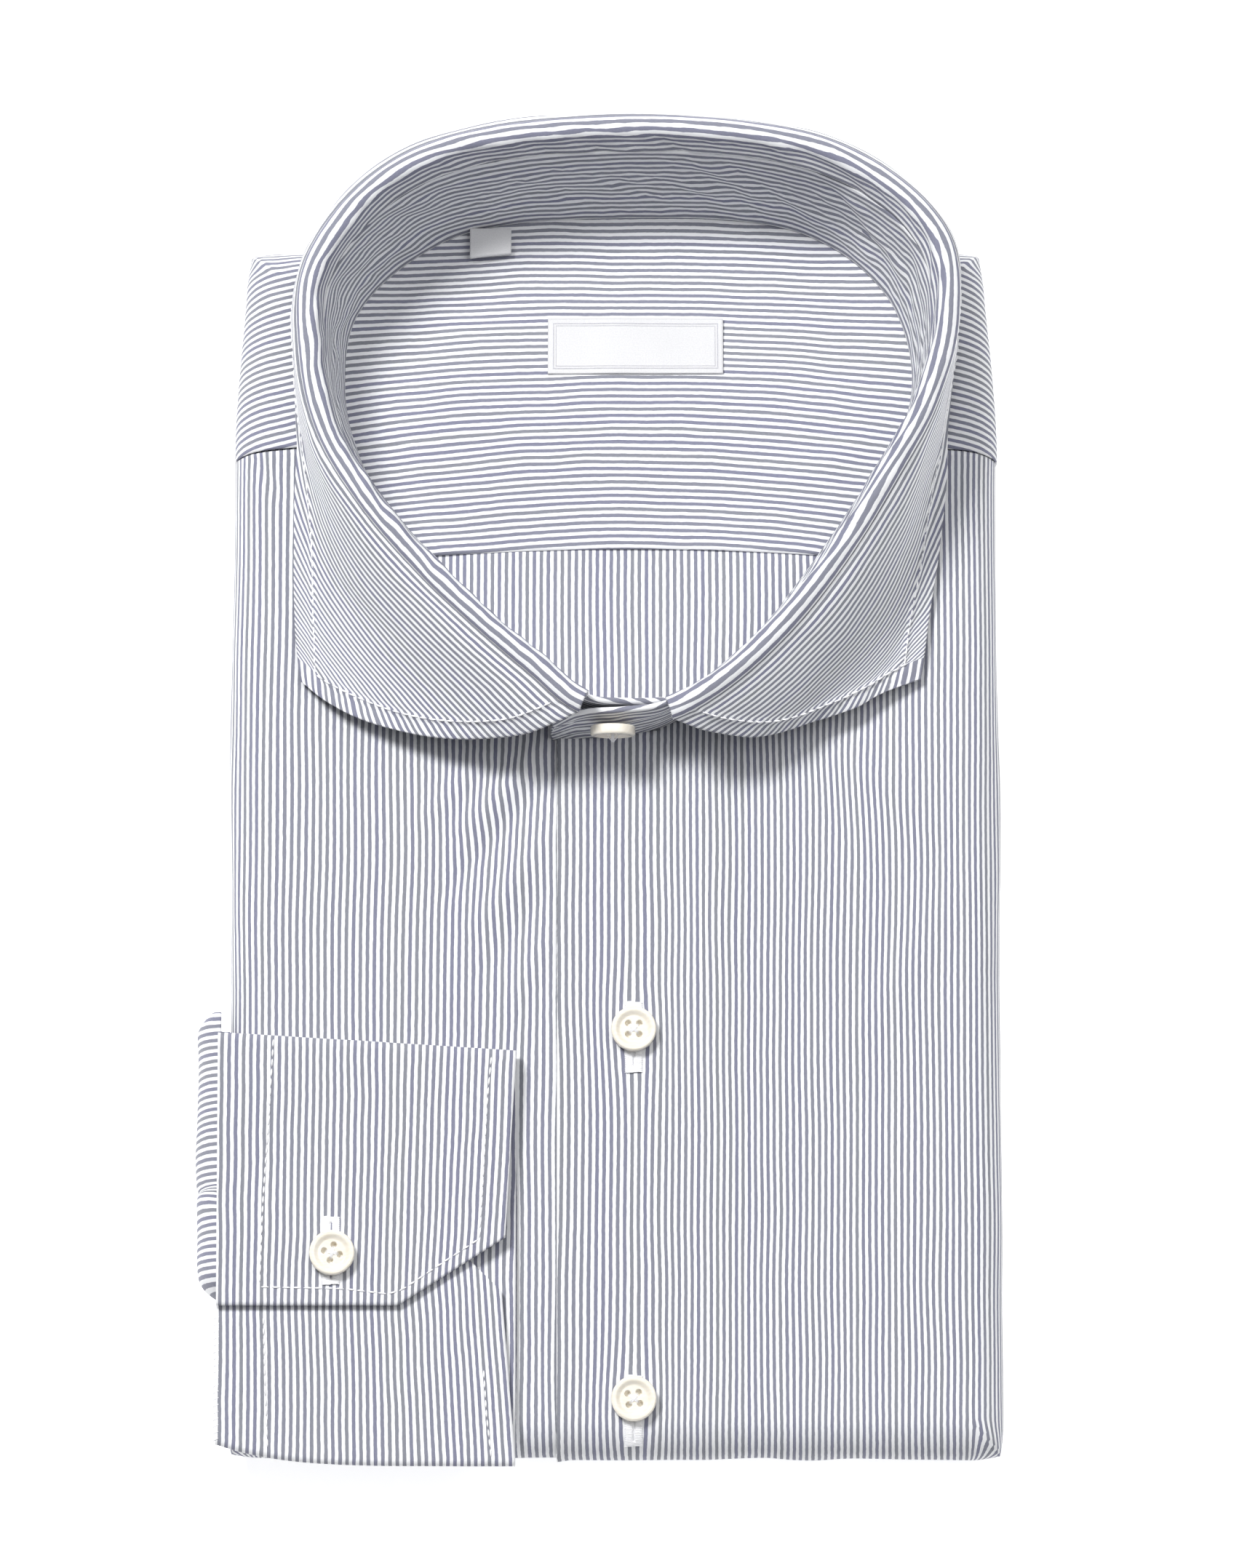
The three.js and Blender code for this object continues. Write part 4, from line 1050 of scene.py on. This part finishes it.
# %% The sleeve
SLEEVE_TOP_Y, SLEEVE_BOTTOM_Y, SLEEVE_REACH, SLEEVE_WALL = -42.0, -113.0, 106.2, 1.2
PLEAT_Y = -87
y = np.linspace(SLEEVE_TOP_Y, SLEEVE_BOTTOM_Y, 90)[None, :]
turn = np.linspace(0, 1, 60)[:, None]
down = (SLEEVE_TOP_Y - y) / (SLEEVE_TOP_Y - SLEEVE_BOTTOM_Y)
reach = SLEEVE_REACH - 0.8 - 2.2 * np.clip((down - 0.86) / 0.14, 0, 1) ** 2
reach = reach - 2.6 * np.clip(1 - down / 0.06, 0, 1) ** 2
reach = reach - 0.9 * bell(y - PLEAT_Y, 1.3) + 0.35 * soft_noise(y, turn * 30, 11, 81)
top_z = stack_height(-HALF_WIDTH, y) + 4.2
inner_x = lerp(99.6, 98.2, turn)
closing = np.sqrt(np.clip(1 - np.clip((down - 0.93) / 0.07, 0, 1) ** 2, 0.02, 1))
sleeve_points = np.stack(
    [
        -(inner_x + (reach - inner_x) * np.sin(np.pi * turn) * closing) + 0 * y,
        y + 1.2 * bell(y + 90, 3.0) * np.sin(np.pi * turn),
        lerp(1.0, top_z, 0.5 + 0.5 * closing * np.cos(np.pi * turn)),
    ],
    -1,
)
sleeve_run = run_length(sleeve_points, 0)
sleeve_wander = 0.3 * soft_noise(y, sleeve_run, 12, 82)
sleeve_map = np.stack([y + sleeve_wander + 1.5 * np.tanh((y - PLEAT_Y) / 1.2), sleeve_run], -1)
sleeve = add_sheets("sleeve_turn", [(sleeve_points, sleeve_map, None)], SLEEVE_WALL, COTTON, 0.0)
finish_piece(sleeve, "striped_cotton", "sleeve")

# %% [markdown]
# Shirt buttons are cut from shell: ivory, a little translucent, with a raised rim, a
# dished middle and four holes. Each is one fine disc of rings and spokes whose height is
# a function of the place on it. The thread is a cross of short rounded strands that dips
# into the holes.

# %% Shell and thread
def shell_finish():
    """Ivory with slow clouds and fine growth lines under a clear polish."""
    material, shader, node, link = new_material("shell")
    place = node("TexCoord").outputs["Object"]
    clouds = node("TexNoise", Vector=place, Scale=260.0, Detail=3.0)
    rings = {"wave_type": "RINGS"}
    lines = node("TexWave", rings, Vector=place, Scale=300.0, Distortion=9.0, Detail=2.0)
    warm = colour_mix(node, clouds.outputs[0], (0.90, 0.86, 0.77, 1), (0.80, 0.73, 0.60, 1))
    faint = maths(node, "MULTIPLY", lines.outputs[1], 0.22)
    link(colour_mix(node, faint, warm, (0.95, 0.93, 0.90, 1)), shader.inputs["Base Color"])
    shader.inputs["Roughness"].default_value = 0.22
    shader.inputs["Coat Weight"].default_value = 0.5
    shader.inputs["Coat Roughness"].default_value = 0.12
    shader.inputs["Subsurface Weight"].default_value = 0.12
    shader.inputs["Subsurface Radius"].default_value = (0.002, 0.0018, 0.0014)
    return material


def thread_finish():
    """White thread: a fine twist as bump, and a little sheen."""
    material, shader, node, link = new_material("white_thread")
    place = node("TexCoord").outputs["Object"]
    twist = node("TexNoise", Vector=place, Scale=5200.0, Detail=2.0)
    white = colour_mix(node, twist.outputs[0], (0.93, 0.93, 0.94, 1), (0.80, 0.80, 0.83, 1))
    link(white, shader.inputs["Base Color"])
    bump = node("Bump", Strength=0.4, Distance=0.0001, Height=twist.outputs[0])
    link(bump.outputs[0], shader.inputs["Normal"])
    shader.inputs["Roughness"].default_value = 0.6
    shader.inputs["Sheen Weight"].default_value = 0.2
    return material


SHELL, THREAD = shell_finish(), thread_finish()
print("made", SHELL.name, "and", THREAD.name)

# %% [markdown]
# Sewing thread shows as hundreds of short strands: the crosses in the buttons and every
# stitch of the seams. One function makes a whole set of them at once, as tubes of a few
# rings and sides, so that even a long row stays light.

# %% Many small strands at once
STRAND_RINGS, STRAND_SIDES = 5, 6


def strands(starts, ends, ups, thickness, arch):
    """Short rounded strands as one set of quads. Each runs from a start to an end, is
    thickest in its middle (root of a sine) and arches away from the cloth along up."""
    starts, ends, ups = (np.asarray(a, float) for a in (starts, ends, ups))
    run = ends - starts
    along = run / np.linalg.norm(run, axis=-1, keepdims=True)
    side = np.cross(along, ups)
    side /= np.maximum(np.linalg.norm(side, axis=-1, keepdims=True), 1e-9)
    up = np.cross(side, along)
    share = np.linspace(0, 1, STRAND_RINGS)[None, :, None, None]
    turn = np.linspace(0, 2 * np.pi, STRAND_SIDES, endpoint=False)[None, None, :, None]
    radius = thickness / 2 * (0.30 + 0.70 * np.sin(np.pi * share) ** 0.5)
    centre = starts[:, None, None] + run[:, None, None] * share
    centre = centre + up[:, None, None] * arch * np.sin(np.pi * share)
    points = centre + radius * (side[:, None, None] * np.cos(turn) + up[:, None, None] * np.sin(turn))
    count = len(starts)
    shape = (count, STRAND_RINGS, STRAND_SIDES)
    number = np.arange(count * STRAND_RINGS * STRAND_SIDES).reshape(shape)
    turned = np.roll(number, -1, axis=2)
    tube = np.stack([number[:, :-1], turned[:, :-1], turned[:, 1:], number[:, 1:]], -1)
    tube = tube.reshape(-1, 4)
    caps = []
    for ring, order in ((0, 1), (-1, -1)):
        corners = number[:, ring, ::order]
        caps += [corners[:, [3, 2, 1, 0]], corners[:, [5, 4, 3, 0]]]
    return points.reshape(-1, 3), np.concatenate([tube, *caps])


def join_strands(name, sets, material, slot):
    """Several sets of strands as one piece."""
    points, quads, offset = [], [], 0
    for places, faces in sets:
        points.append(places)
        quads.append(faces + offset)
        offset += len(places)
    points, quads = np.concatenate(points), np.concatenate(quads)
    piece = add_mesh(name, points, quads, points[:, :2], material)
    print(name, len(quads), "quads")
    return finish_piece(piece, slot)


print("a strand has", STRAND_RINGS * STRAND_SIDES, "points")

# %% [markdown]
# A button is turned on a lathe, so its grid is a profile carried round an axis, and the
# holes are dips in the height of its face. Each is sewn on with a cross of three strands
# each way. The collar's button stands on its edge and is seen from the rim, where the
# thread's shank shows as a small nub.

# %% Buttons
BUTTON_RADIUS, BUTTON_HEIGHT, DISH_HEIGHT = 5.7, 2.6, 1.85
HOLE_PLACE, HOLE_RADIUS, HOLE_DEPTH = 1.42, 0.72, 1.6
THREAD_START, THREAD_WIDTH = 1.45, 0.36


def face_height(radius):
    """The face: a dished middle that rises to a flat rim."""
    return DISH_HEIGHT + (BUTTON_HEIGHT - DISH_HEIGHT) * smooth((radius - 3.3) / 1.5)


def button_points():
    """A profile turned about the axis: the face out to the rim, a rounded edge, a straight
    side, a rounded foot and the back, with the four holes pressed into the face."""
    soft = 0.55
    face = np.linspace(0.0, BUTTON_RADIUS - soft, 60)
    bend = np.linspace(0, np.pi / 2, 8)[1:]
    edge_r = BUTTON_RADIUS - soft + soft * np.sin(bend)
    edge_z = BUTTON_HEIGHT - soft + soft * np.cos(bend)
    foot_r = BUTTON_RADIUS - soft + soft * np.cos(bend)
    foot_z = soft - soft * np.sin(bend)
    back = np.linspace(BUTTON_RADIUS - soft, 0, 8)[1:]
    radius = np.concatenate([face, edge_r, foot_r, back])[:, None]
    height = np.concatenate([face_height(face), edge_z, foot_z, 0 * back])[:, None]
    turn = np.linspace(0, 2 * np.pi, 97)[None, :]
    x, y = radius * np.cos(turn), radius * np.sin(turn)
    z = height + 0 * turn
    on_face = (np.arange(len(radius)) < len(face))[:, None]
    for hole_x, hole_y in ((1, 1), (-1, 1), (-1, -1), (1, -1)):
        away = np.hypot(x - hole_x * HOLE_PLACE, y - hole_y * HOLE_PLACE)
        dip = 1 - smooth((away - HOLE_RADIUS * 0.72) / (HOLE_RADIUS * 0.45))
        z = z - on_face * HOLE_DEPTH * dip
    return np.stack([x, y, z], -1)[::-1]


def turned(points, turn_z, tilt_x):
    """Points turned about Z, then about X."""
    cosine, sine = math.cos(turn_z), math.sin(turn_z)
    about_z = np.array([[cosine, -sine, 0], [sine, cosine, 0], [0, 0, 1]])
    cosine, sine = math.cos(tilt_x), math.sin(tilt_x)
    about_x = np.array([[1, 0, 0], [0, cosine, -sine], [0, sine, cosine]])
    return points @ about_z.T @ about_x.T


print("button grid", button_points().shape[:2])

# %% [markdown]
# A sewn button is that disc set down at its place, with the strands of its thread turned
# the same way. The front buttons follow the cloth's unevenness beneath them, the cuff's
# lies on the flap, and the collar's stands on its edge.

# %% Sewing the buttons on


def sewn_button(name, node_name, place, turn_z, tilt_x, arch=0.65):
    """A button at its place with crossed thread in its holes, standing up by arch."""
    grid = turned(button_points(), turn_z, tilt_x) + place
    piece = add_mesh(name, grid, grid_faces(*grid.shape[:2]), grid[..., :2], SHELL)
    close_rings(piece, 97)
    finish_piece(piece, "shell_button", node_name)
    spots = np.array([(-1, -1), (1, 1), (-1, 1), (1, -1)]) * HOLE_PLACE
    starts, ends = [], []
    for offset in (-0.26, 0.0, 0.26):
        for a, b in ((0, 1), (2, 3)):
            across = np.array([-(spots[b] - spots[a])[1], (spots[b] - spots[a])[0]])
            across = across / np.linalg.norm(across) * offset
            starts.append([*(0.86 * spots[a] + across), THREAD_START])
            ends.append([*(0.86 * spots[b] + across), THREAD_START])
    lift = np.tile([0, 0, 1.0], (len(starts), 1))
    places, faces = strands(starts, ends, lift, THREAD_WIDTH, arch)
    return piece, (turned(places, turn_z, tilt_x) + place, faces)


def on_front(x, y, rise=0.0):
    """A point on the over or under front, found from the place on the cloth."""
    return lay(np.array(x), np.array(y), -front_relief(np.array(x), np.array(y)), rise)


CUFF_BUTTON, COLLAR_BUTTON = (-71.2, -104.0), (-0.5, 29.6, 38.4)
FLAP_FACE = CUFF_GAP + FLAP_LEVEL + CUFF_WALL / 2
first = on_front(*BUTTON_PLACES[0], placket_rise(*BUTTON_PLACES[0]))
second = on_front(*BUTTON_PLACES[1], placket_rise(*BUTTON_PLACES[1]))
cuff_place = np.array([*CUFF_BUTTON, stack_height(*CUFF_BUTTON) + FLAP_FACE])
lifted = np.array([0, 0, 0.45])
standing = math.pi / 2 + 0.1
made = [
    sewn_button("front_button_upper", "front_button_1", first + lifted, 0.0, 0.02),
    sewn_button("front_button_lower", "front_button_2", second + lifted, 0.12, 0.03),
    sewn_button("cuff_button_sewn", "cuff_button", cuff_place + lifted, 0.55, 0.03),
    sewn_button("collar_button_sewn", "collar_button", np.array(COLLAR_BUTTON), 0.8, standing, 2.6),
]
button_threads = [threads for _, threads in made]
print(len(made), "buttons,", len(made[0][0].data.polygons), "faces each")

# %% [markdown]
# A worked buttonhole is two rows of close satin stitches with a slit between them and a
# bar at each end. It is a low ribbed cushion: the height is a rounded section across,
# times fine ribs along, with a groove down the middle.

# %% Buttonholes
HOLE_LENGTH, CUFF_HOLE_LENGTH, HOLE_WIDTH = 18.0, 17.2, 4.6
HOLE_CENTRES = (((4.8, -47.8), False), ((4.8, -143.1), False), ((-71.5, -103.2), True))


def buttonhole(place, length=HOLE_LENGTH):
    """A grid on the cloth round a place, higher by the ribbed section."""
    across = np.linspace(-0.5, 0.5, 25)[None, :]
    along = np.linspace(-0.5, 0.5, 170)[:, None]
    x = place[0] + HOLE_WIDTH * across * (1 + 0.04 * np.sin(along * 210))
    y = place[1] + length * along + 0 * across
    section = np.clip(1 - (2 * np.abs(across)) ** 4, 0, 1) ** 0.5
    slit = bell(across, 0.055) * (1 - smooth((np.abs(along) - 0.40) / 0.04))
    ribs = 0.10 * np.sin(2 * np.pi * along * length / 0.42 + 2.0 * np.sign(across))
    height = section * (0.55 + ribs) - 0.75 * slit - 0.05
    return x, y, height


hole_sheets = []
for place, is_cuff in HOLE_CENTRES:
    x, y, height = buttonhole(place, CUFF_HOLE_LENGTH if is_cuff else HOLE_LENGTH)
    if is_cuff:
        base = stack_height(x, y) + FLAP_FACE
        points = np.stack([x, y, base + height], -1)
    else:
        points = on_front(x, y, placket_rise(x, y))
        points[..., 2] += height
    hole_sheets.append((points, np.stack([x, y], -1), None))
buttonholes = add_sheets("worked_buttonholes", hole_sheets, 0.3, THREAD)
finish_piece(buttonholes, "white_tape")
print(len(hole_sheets), "buttonholes")

# %% [markdown]
# Topstitching is a row of short thread dashes, sunk a little at their ends. They are laid
# along lines on the finished surfaces: a line is found by its place in a grid, resampled
# at the stitch length, and every stitch becomes one small strand.

# %% Stitch lines
STITCH, STITCH_THREAD = 2.5, 0.5


def on_grid(points, row, column):
    """A surface point and its normal at fractional rows and columns of a grid."""
    row, column = np.asarray(row, float), np.asarray(column, float)
    r = np.clip(np.floor(row).astype(int), 0, points.shape[0] - 2)
    c = np.clip(np.floor(column).astype(int), 0, points.shape[1] - 2)
    fr, fc = (row - r)[..., None], (column - c)[..., None]
    normal = normals_of(points)

    def blend(values):
        low = lerp(values[r, c], values[r, c + 1], fc)
        return lerp(low, lerp(values[r + 1, c], values[r + 1, c + 1], fc), fr)

    return blend(points), blend(normal)


def stitches(places, normals, lift, spacing=STITCH, share=0.78):
    """Strands along a line of points: equal spacing, each filling a share of its step."""
    steps = np.linalg.norm(np.diff(places, axis=0), axis=-1)
    run = np.concatenate([[0], np.cumsum(steps)])
    count = max(int(run[-1] / spacing), 1)
    begin = (np.arange(count) + (1 - share) / 2) * run[-1] / count
    end = begin + share * run[-1] / count

    def at(distance, values):
        return np.stack([np.interp(distance, run, values[:, axis]) for axis in range(3)], -1)

    up = at((begin + end) / 2, normals)
    up /= np.linalg.norm(up, axis=-1, keepdims=True)
    starts, ends = at(begin, places) + up * lift, at(end, places) + up * lift
    return strands(starts, ends, up, STITCH_THREAD, 0.12)


def contour(value, target, columns, rows_from, rows_to, rising=True):
    """For each column, the fractional row where a field first passes a target."""
    part = value[rows_from:rows_to][:, columns]
    passed = part >= target if rising else part <= target
    row = np.argmax(passed, axis=0)
    row = np.clip(row, 1, len(part) - 1)
    each = np.arange(len(columns))
    before, after = part[row - 1, each], part[row, each]
    step = np.where(after == before, 1, after - before)
    return rows_from + row - 1 + np.clip((target - before) / step, 0, 1)


print("a stitch every", STITCH, "mm")

# %% [markdown]
# On each leaf the row runs a few millimetres inside the edge: along the long side, where
# the distance to the edge passes the border's width, and down both front edges.

# %% Stitches on the leaves
columns = np.arange(0, fall_points.shape[1])
edge_row = contour(to_edge, BORDER, columns, leaf_at, len(fall_points), rising=False)
inner_columns = columns[(to_front[-12] > BORDER)]
side_line = on_grid(fall_points, edge_row[inner_columns], inner_columns)
leaf_rows = np.arange(leaf_at + 3, int(edge_row[inner_columns[0]]) + 1)
first_column = np.array([np.interp(BORDER, run[row], columns) for row in leaf_rows])
last_column = np.array([np.interp(-BORDER, -(run[row, -1] - run[row]), columns) for row in leaf_rows])
front_lines = [on_grid(fall_points, leaf_rows, column) for column in (first_column, last_column)]
leaf_lines = [side_line, *front_lines]
facing = np.sign(side_line[1][len(side_line[1]) // 2][1])
print("leaf border normals face", facing)
leaf_lift = COLLAR_WALL / 2 + 0.04
leaf_stitches = [stitches(places, normals * facing, leaf_lift) for places, normals in leaf_lines]

# %% [markdown]
# The cuff is stitched round its flap, along its seam with the sleeve and down the
# underlap. At the underlap's left end a row of overcasting closes the edge. All stitches
# become one piece, and all button threads another.

# %% Stitches on the cuff
def cuff_line(corners, level):
    """A line over the cuff through corners in the plan, on its flap or underlap."""
    corners = np.asarray(corners, float)
    run = np.concatenate([[0], np.cumsum(np.linalg.norm(np.diff(corners, axis=0), axis=-1))])
    fine = np.linspace(0, run[-1], 120)
    x, y = np.interp(fine, run, corners[:, 0]), np.interp(fine, run, corners[:, 1])
    places = np.stack([x, y, cuff_height(x, y, level) + CUFF_WALL / 2], -1)
    return places, np.tile([0, 0, 1.0], (len(places), 1))


FLAP_LINES = [
    [(-86.3, -49.0), (-87.4, -70), (-88.7, -90), (-89.4, -111.5)],
    [(-31.2, -53.5), (-32.3, -66), (-33.4, -88), (-34.2, -100.2)],
    [(-34.2, -100.2), (-45.4, -107.6), (-53.6, -113.2), (-57.2, -114.2)],
    [(-57.2, -114.2), (-69, -112.8), (-89.4, -112.4)],
]
LAP_LINES = [
    [(-88.5, -119.5), (-88.0, -136), (-87.2, -153)],
    [(-33.0, -133), (-32.2, -145), (-31.0, -155.5)],
]
cuff_sets = [stitches(*cuff_line(line, FLAP_LEVEL), 0.0) for line in FLAP_LINES]
cuff_sets += [stitches(*cuff_line(line, UNDER_LEVEL), 0.0) for line in LAP_LINES]
ticks = np.linspace(-119.5, -150.5, 19)
tick_top = stack_height(CUFF_LEFT, ticks) + CUFF_GAP + UNDER_LEVEL + CUFF_WALL / 2
starts = np.stack([0 * ticks - 99.6, ticks, tick_top + 0.05], -1)
ends = np.stack([0 * ticks - 101.1, ticks - 0.7, tick_top - 1.0], -1)
upwards = np.tile([-0.5, 0, 1.0], (len(ticks), 1))
cuff_sets.append(strands(starts, ends, upwards, STITCH_THREAD, 0.25))
print(len(cuff_sets), "rows of stitches on the cuff")
join_strands("topstitching", [*leaf_stitches, *cuff_sets], THREAD, "white_tape")
join_strands("button_thread", button_threads, THREAD, "white_tape")

# %% [markdown]
# Behind the neck the maker sews in a woven label. It is left plain here, with only a
# woven border. It is a small satin sheet that follows the yoke's lining.

# %% The neck label
FLOAT_PITCH = 0.00035  # metres between the satin's level floats


def satin_finish():
    """White satin tape: fine level floats and a little grain, as colour and as bump."""
    material, shader, node, link = new_material("white_satin")
    flat = node("UVMap", {"uv_map": "cloth"}).outputs[0]
    split = node("SeparateXYZ", i0=flat)
    floats = maths(node, "SINE", maths(node, "MULTIPLY", split.outputs[1], 2 * math.pi / FLOAT_PITCH))
    grain = node("TexNoise", {"noise_dimensions": "2D"}, Vector=flat, Scale=2600.0, Detail=2.0)
    depth = maths(node, "ADD", maths(node, "MULTIPLY", floats, 0.2), grain.outputs[0])
    base = colour_mix(node, grain.outputs[0], (0.70, 0.70, 0.705, 1), (0.58, 0.58, 0.60, 1))
    link(base, shader.inputs["Base Color"])
    bump = node("Bump", Strength=0.3, Distance=0.0001, Height=depth)
    link(bump.outputs[0], shader.inputs["Normal"])
    shader.inputs["Roughness"].default_value = 0.5
    shader.inputs["Sheen Weight"].default_value = 0.2
    return material


SATIN = satin_finish()
BORDER_LIFT = 0.07
LABEL = {"left": -17.3, "right": 27.8, "bottom": 127.0, "top": 142.5}


def label_depth(u, v):
    """How deep the label lies: it follows the lining and curls a little at its edge."""
    from_side = np.minimum(u - LABEL["left"], LABEL["right"] - u)
    from_edge = np.minimum(from_side, np.minimum(v - LABEL["bottom"], LABEL["top"] - v))
    curl = 0.30 * soft_noise(u, v, 12, 91) * (1 - smooth(from_edge / 3))
    return 0.75 - lining_ripple(u, v) - curl


u = np.linspace(LABEL["left"], LABEL["right"], 90)[None, :]
v = np.linspace(LABEL["bottom"], LABEL["top"], 34)[:, None]
label_points = lay(u, v, label_depth(u, v), top_flat=LINING_TOP)
label_map = np.stack([u + 0 * v, v + 0 * u], -1)
label = add_sheets("woven_label", [(label_points, label_map, None)], 0.35, SATIN)
finish_piece(label, "white_tape", "neck_label")
print("label", LABEL)

# %% [markdown]
# The woven border is two closed rings of weft, one wider than the other, that follow the
# label's four sides and lie a hair above it.

# %% The label's border


def label_frame(inset, width):
    """Four narrow strips inside the label's edge, one closed ring of cells."""
    left, right = LABEL["left"] + inset, LABEL["right"] - inset
    low, high = LABEL["bottom"] + inset, LABEL["top"] - inset
    corners = np.array([(left, low), (right, low), (right, high), (left, high), (left, low)])
    share = np.linspace(0, 4, 161)
    place = np.stack([np.interp(share, np.arange(5), corners[:, axis]) for axis in (0, 1)], -1)
    middle = np.array([(left + right) / 2, (low + high) / 2])
    half_size = np.array([(right - left), (high - low)]) / 2
    inward = np.sign(middle - place) * (np.abs(place - middle) > half_size - 1e-6)
    rows = place[None] + inward[None] * width * np.linspace(0, 1, 3)[:, None, None]
    u, v = rows[..., 0], rows[..., 1]
    return lay(u, v, label_depth(u, v) - BORDER_LIFT, top_flat=LINING_TOP), rows, None


GREY_THREAD, grey_shader, grey_node, grey_link = new_material("grey_weft")
grey_place = grey_node("TexCoord").outputs["Object"]
weft = grey_node("TexNoise", Vector=grey_place, Scale=3000.0, Detail=2.0).outputs[0]
grey = colour_mix(grey_node, weft, (0.42, 0.42, 0.45, 1), (0.66, 0.66, 0.70, 1))
grey_link(grey, grey_shader.inputs["Base Color"])
grey_shader.inputs["Roughness"].default_value = 0.7
rings = [label_frame(1.3, 0.3), label_frame(2.0, 0.18)]
frame_lines = add_sheets("label_border", rings, 0.08, GREY_THREAD)
finish_piece(frame_lines, "white_tape")
print(len(rings), "rings in the border")

# %% [markdown]
# The size tab is a short tape folded once and caught in the neck seam, so it is a loop in
# section: down its front, round the fold and back up behind. It is left blank.

# %% The size tab
TAB = {"left": -37.5, "right": -26.8, "bottom": 158.9, "top": 167.2}
u = np.linspace(TAB["left"], TAB["right"], 24)[None, :]
loop = np.linspace(0, 1, 60)[:, None]
tab_length = TAB["top"] - TAB["bottom"]
down_share = 1 - np.abs(2 * loop - 1)
fold_round = np.sqrt(np.clip(1 - np.clip(down_share - 0.9, 0, 0.1) ** 2 / 0.01, 0, 1))
from_left = u - TAB["left"]
v = TAB["top"] - tab_length * (down_share - 0.04 * (1 - fold_round)) + 0.12 * from_left * down_share
layer = np.where(loop < 0.5, 1.0, -1.0) * 0.35 * fold_round
lifting = 0.9 * down_share * (0.5 + 0.2 * np.sin(from_left * 0.4))
tab_points = lay(u, v, -0.4 - layer - lifting, top_flat=LINING_TOP)
tab_map = np.stack([u + 0 * loop, tab_length * 2 * loop + 0 * u], -1)
tab = add_sheets("folded_tab", [(tab_points, tab_map, None)], 0.25, SATIN)
finish_piece(tab, "white_tape", "size_tab")
print("tab", TAB)
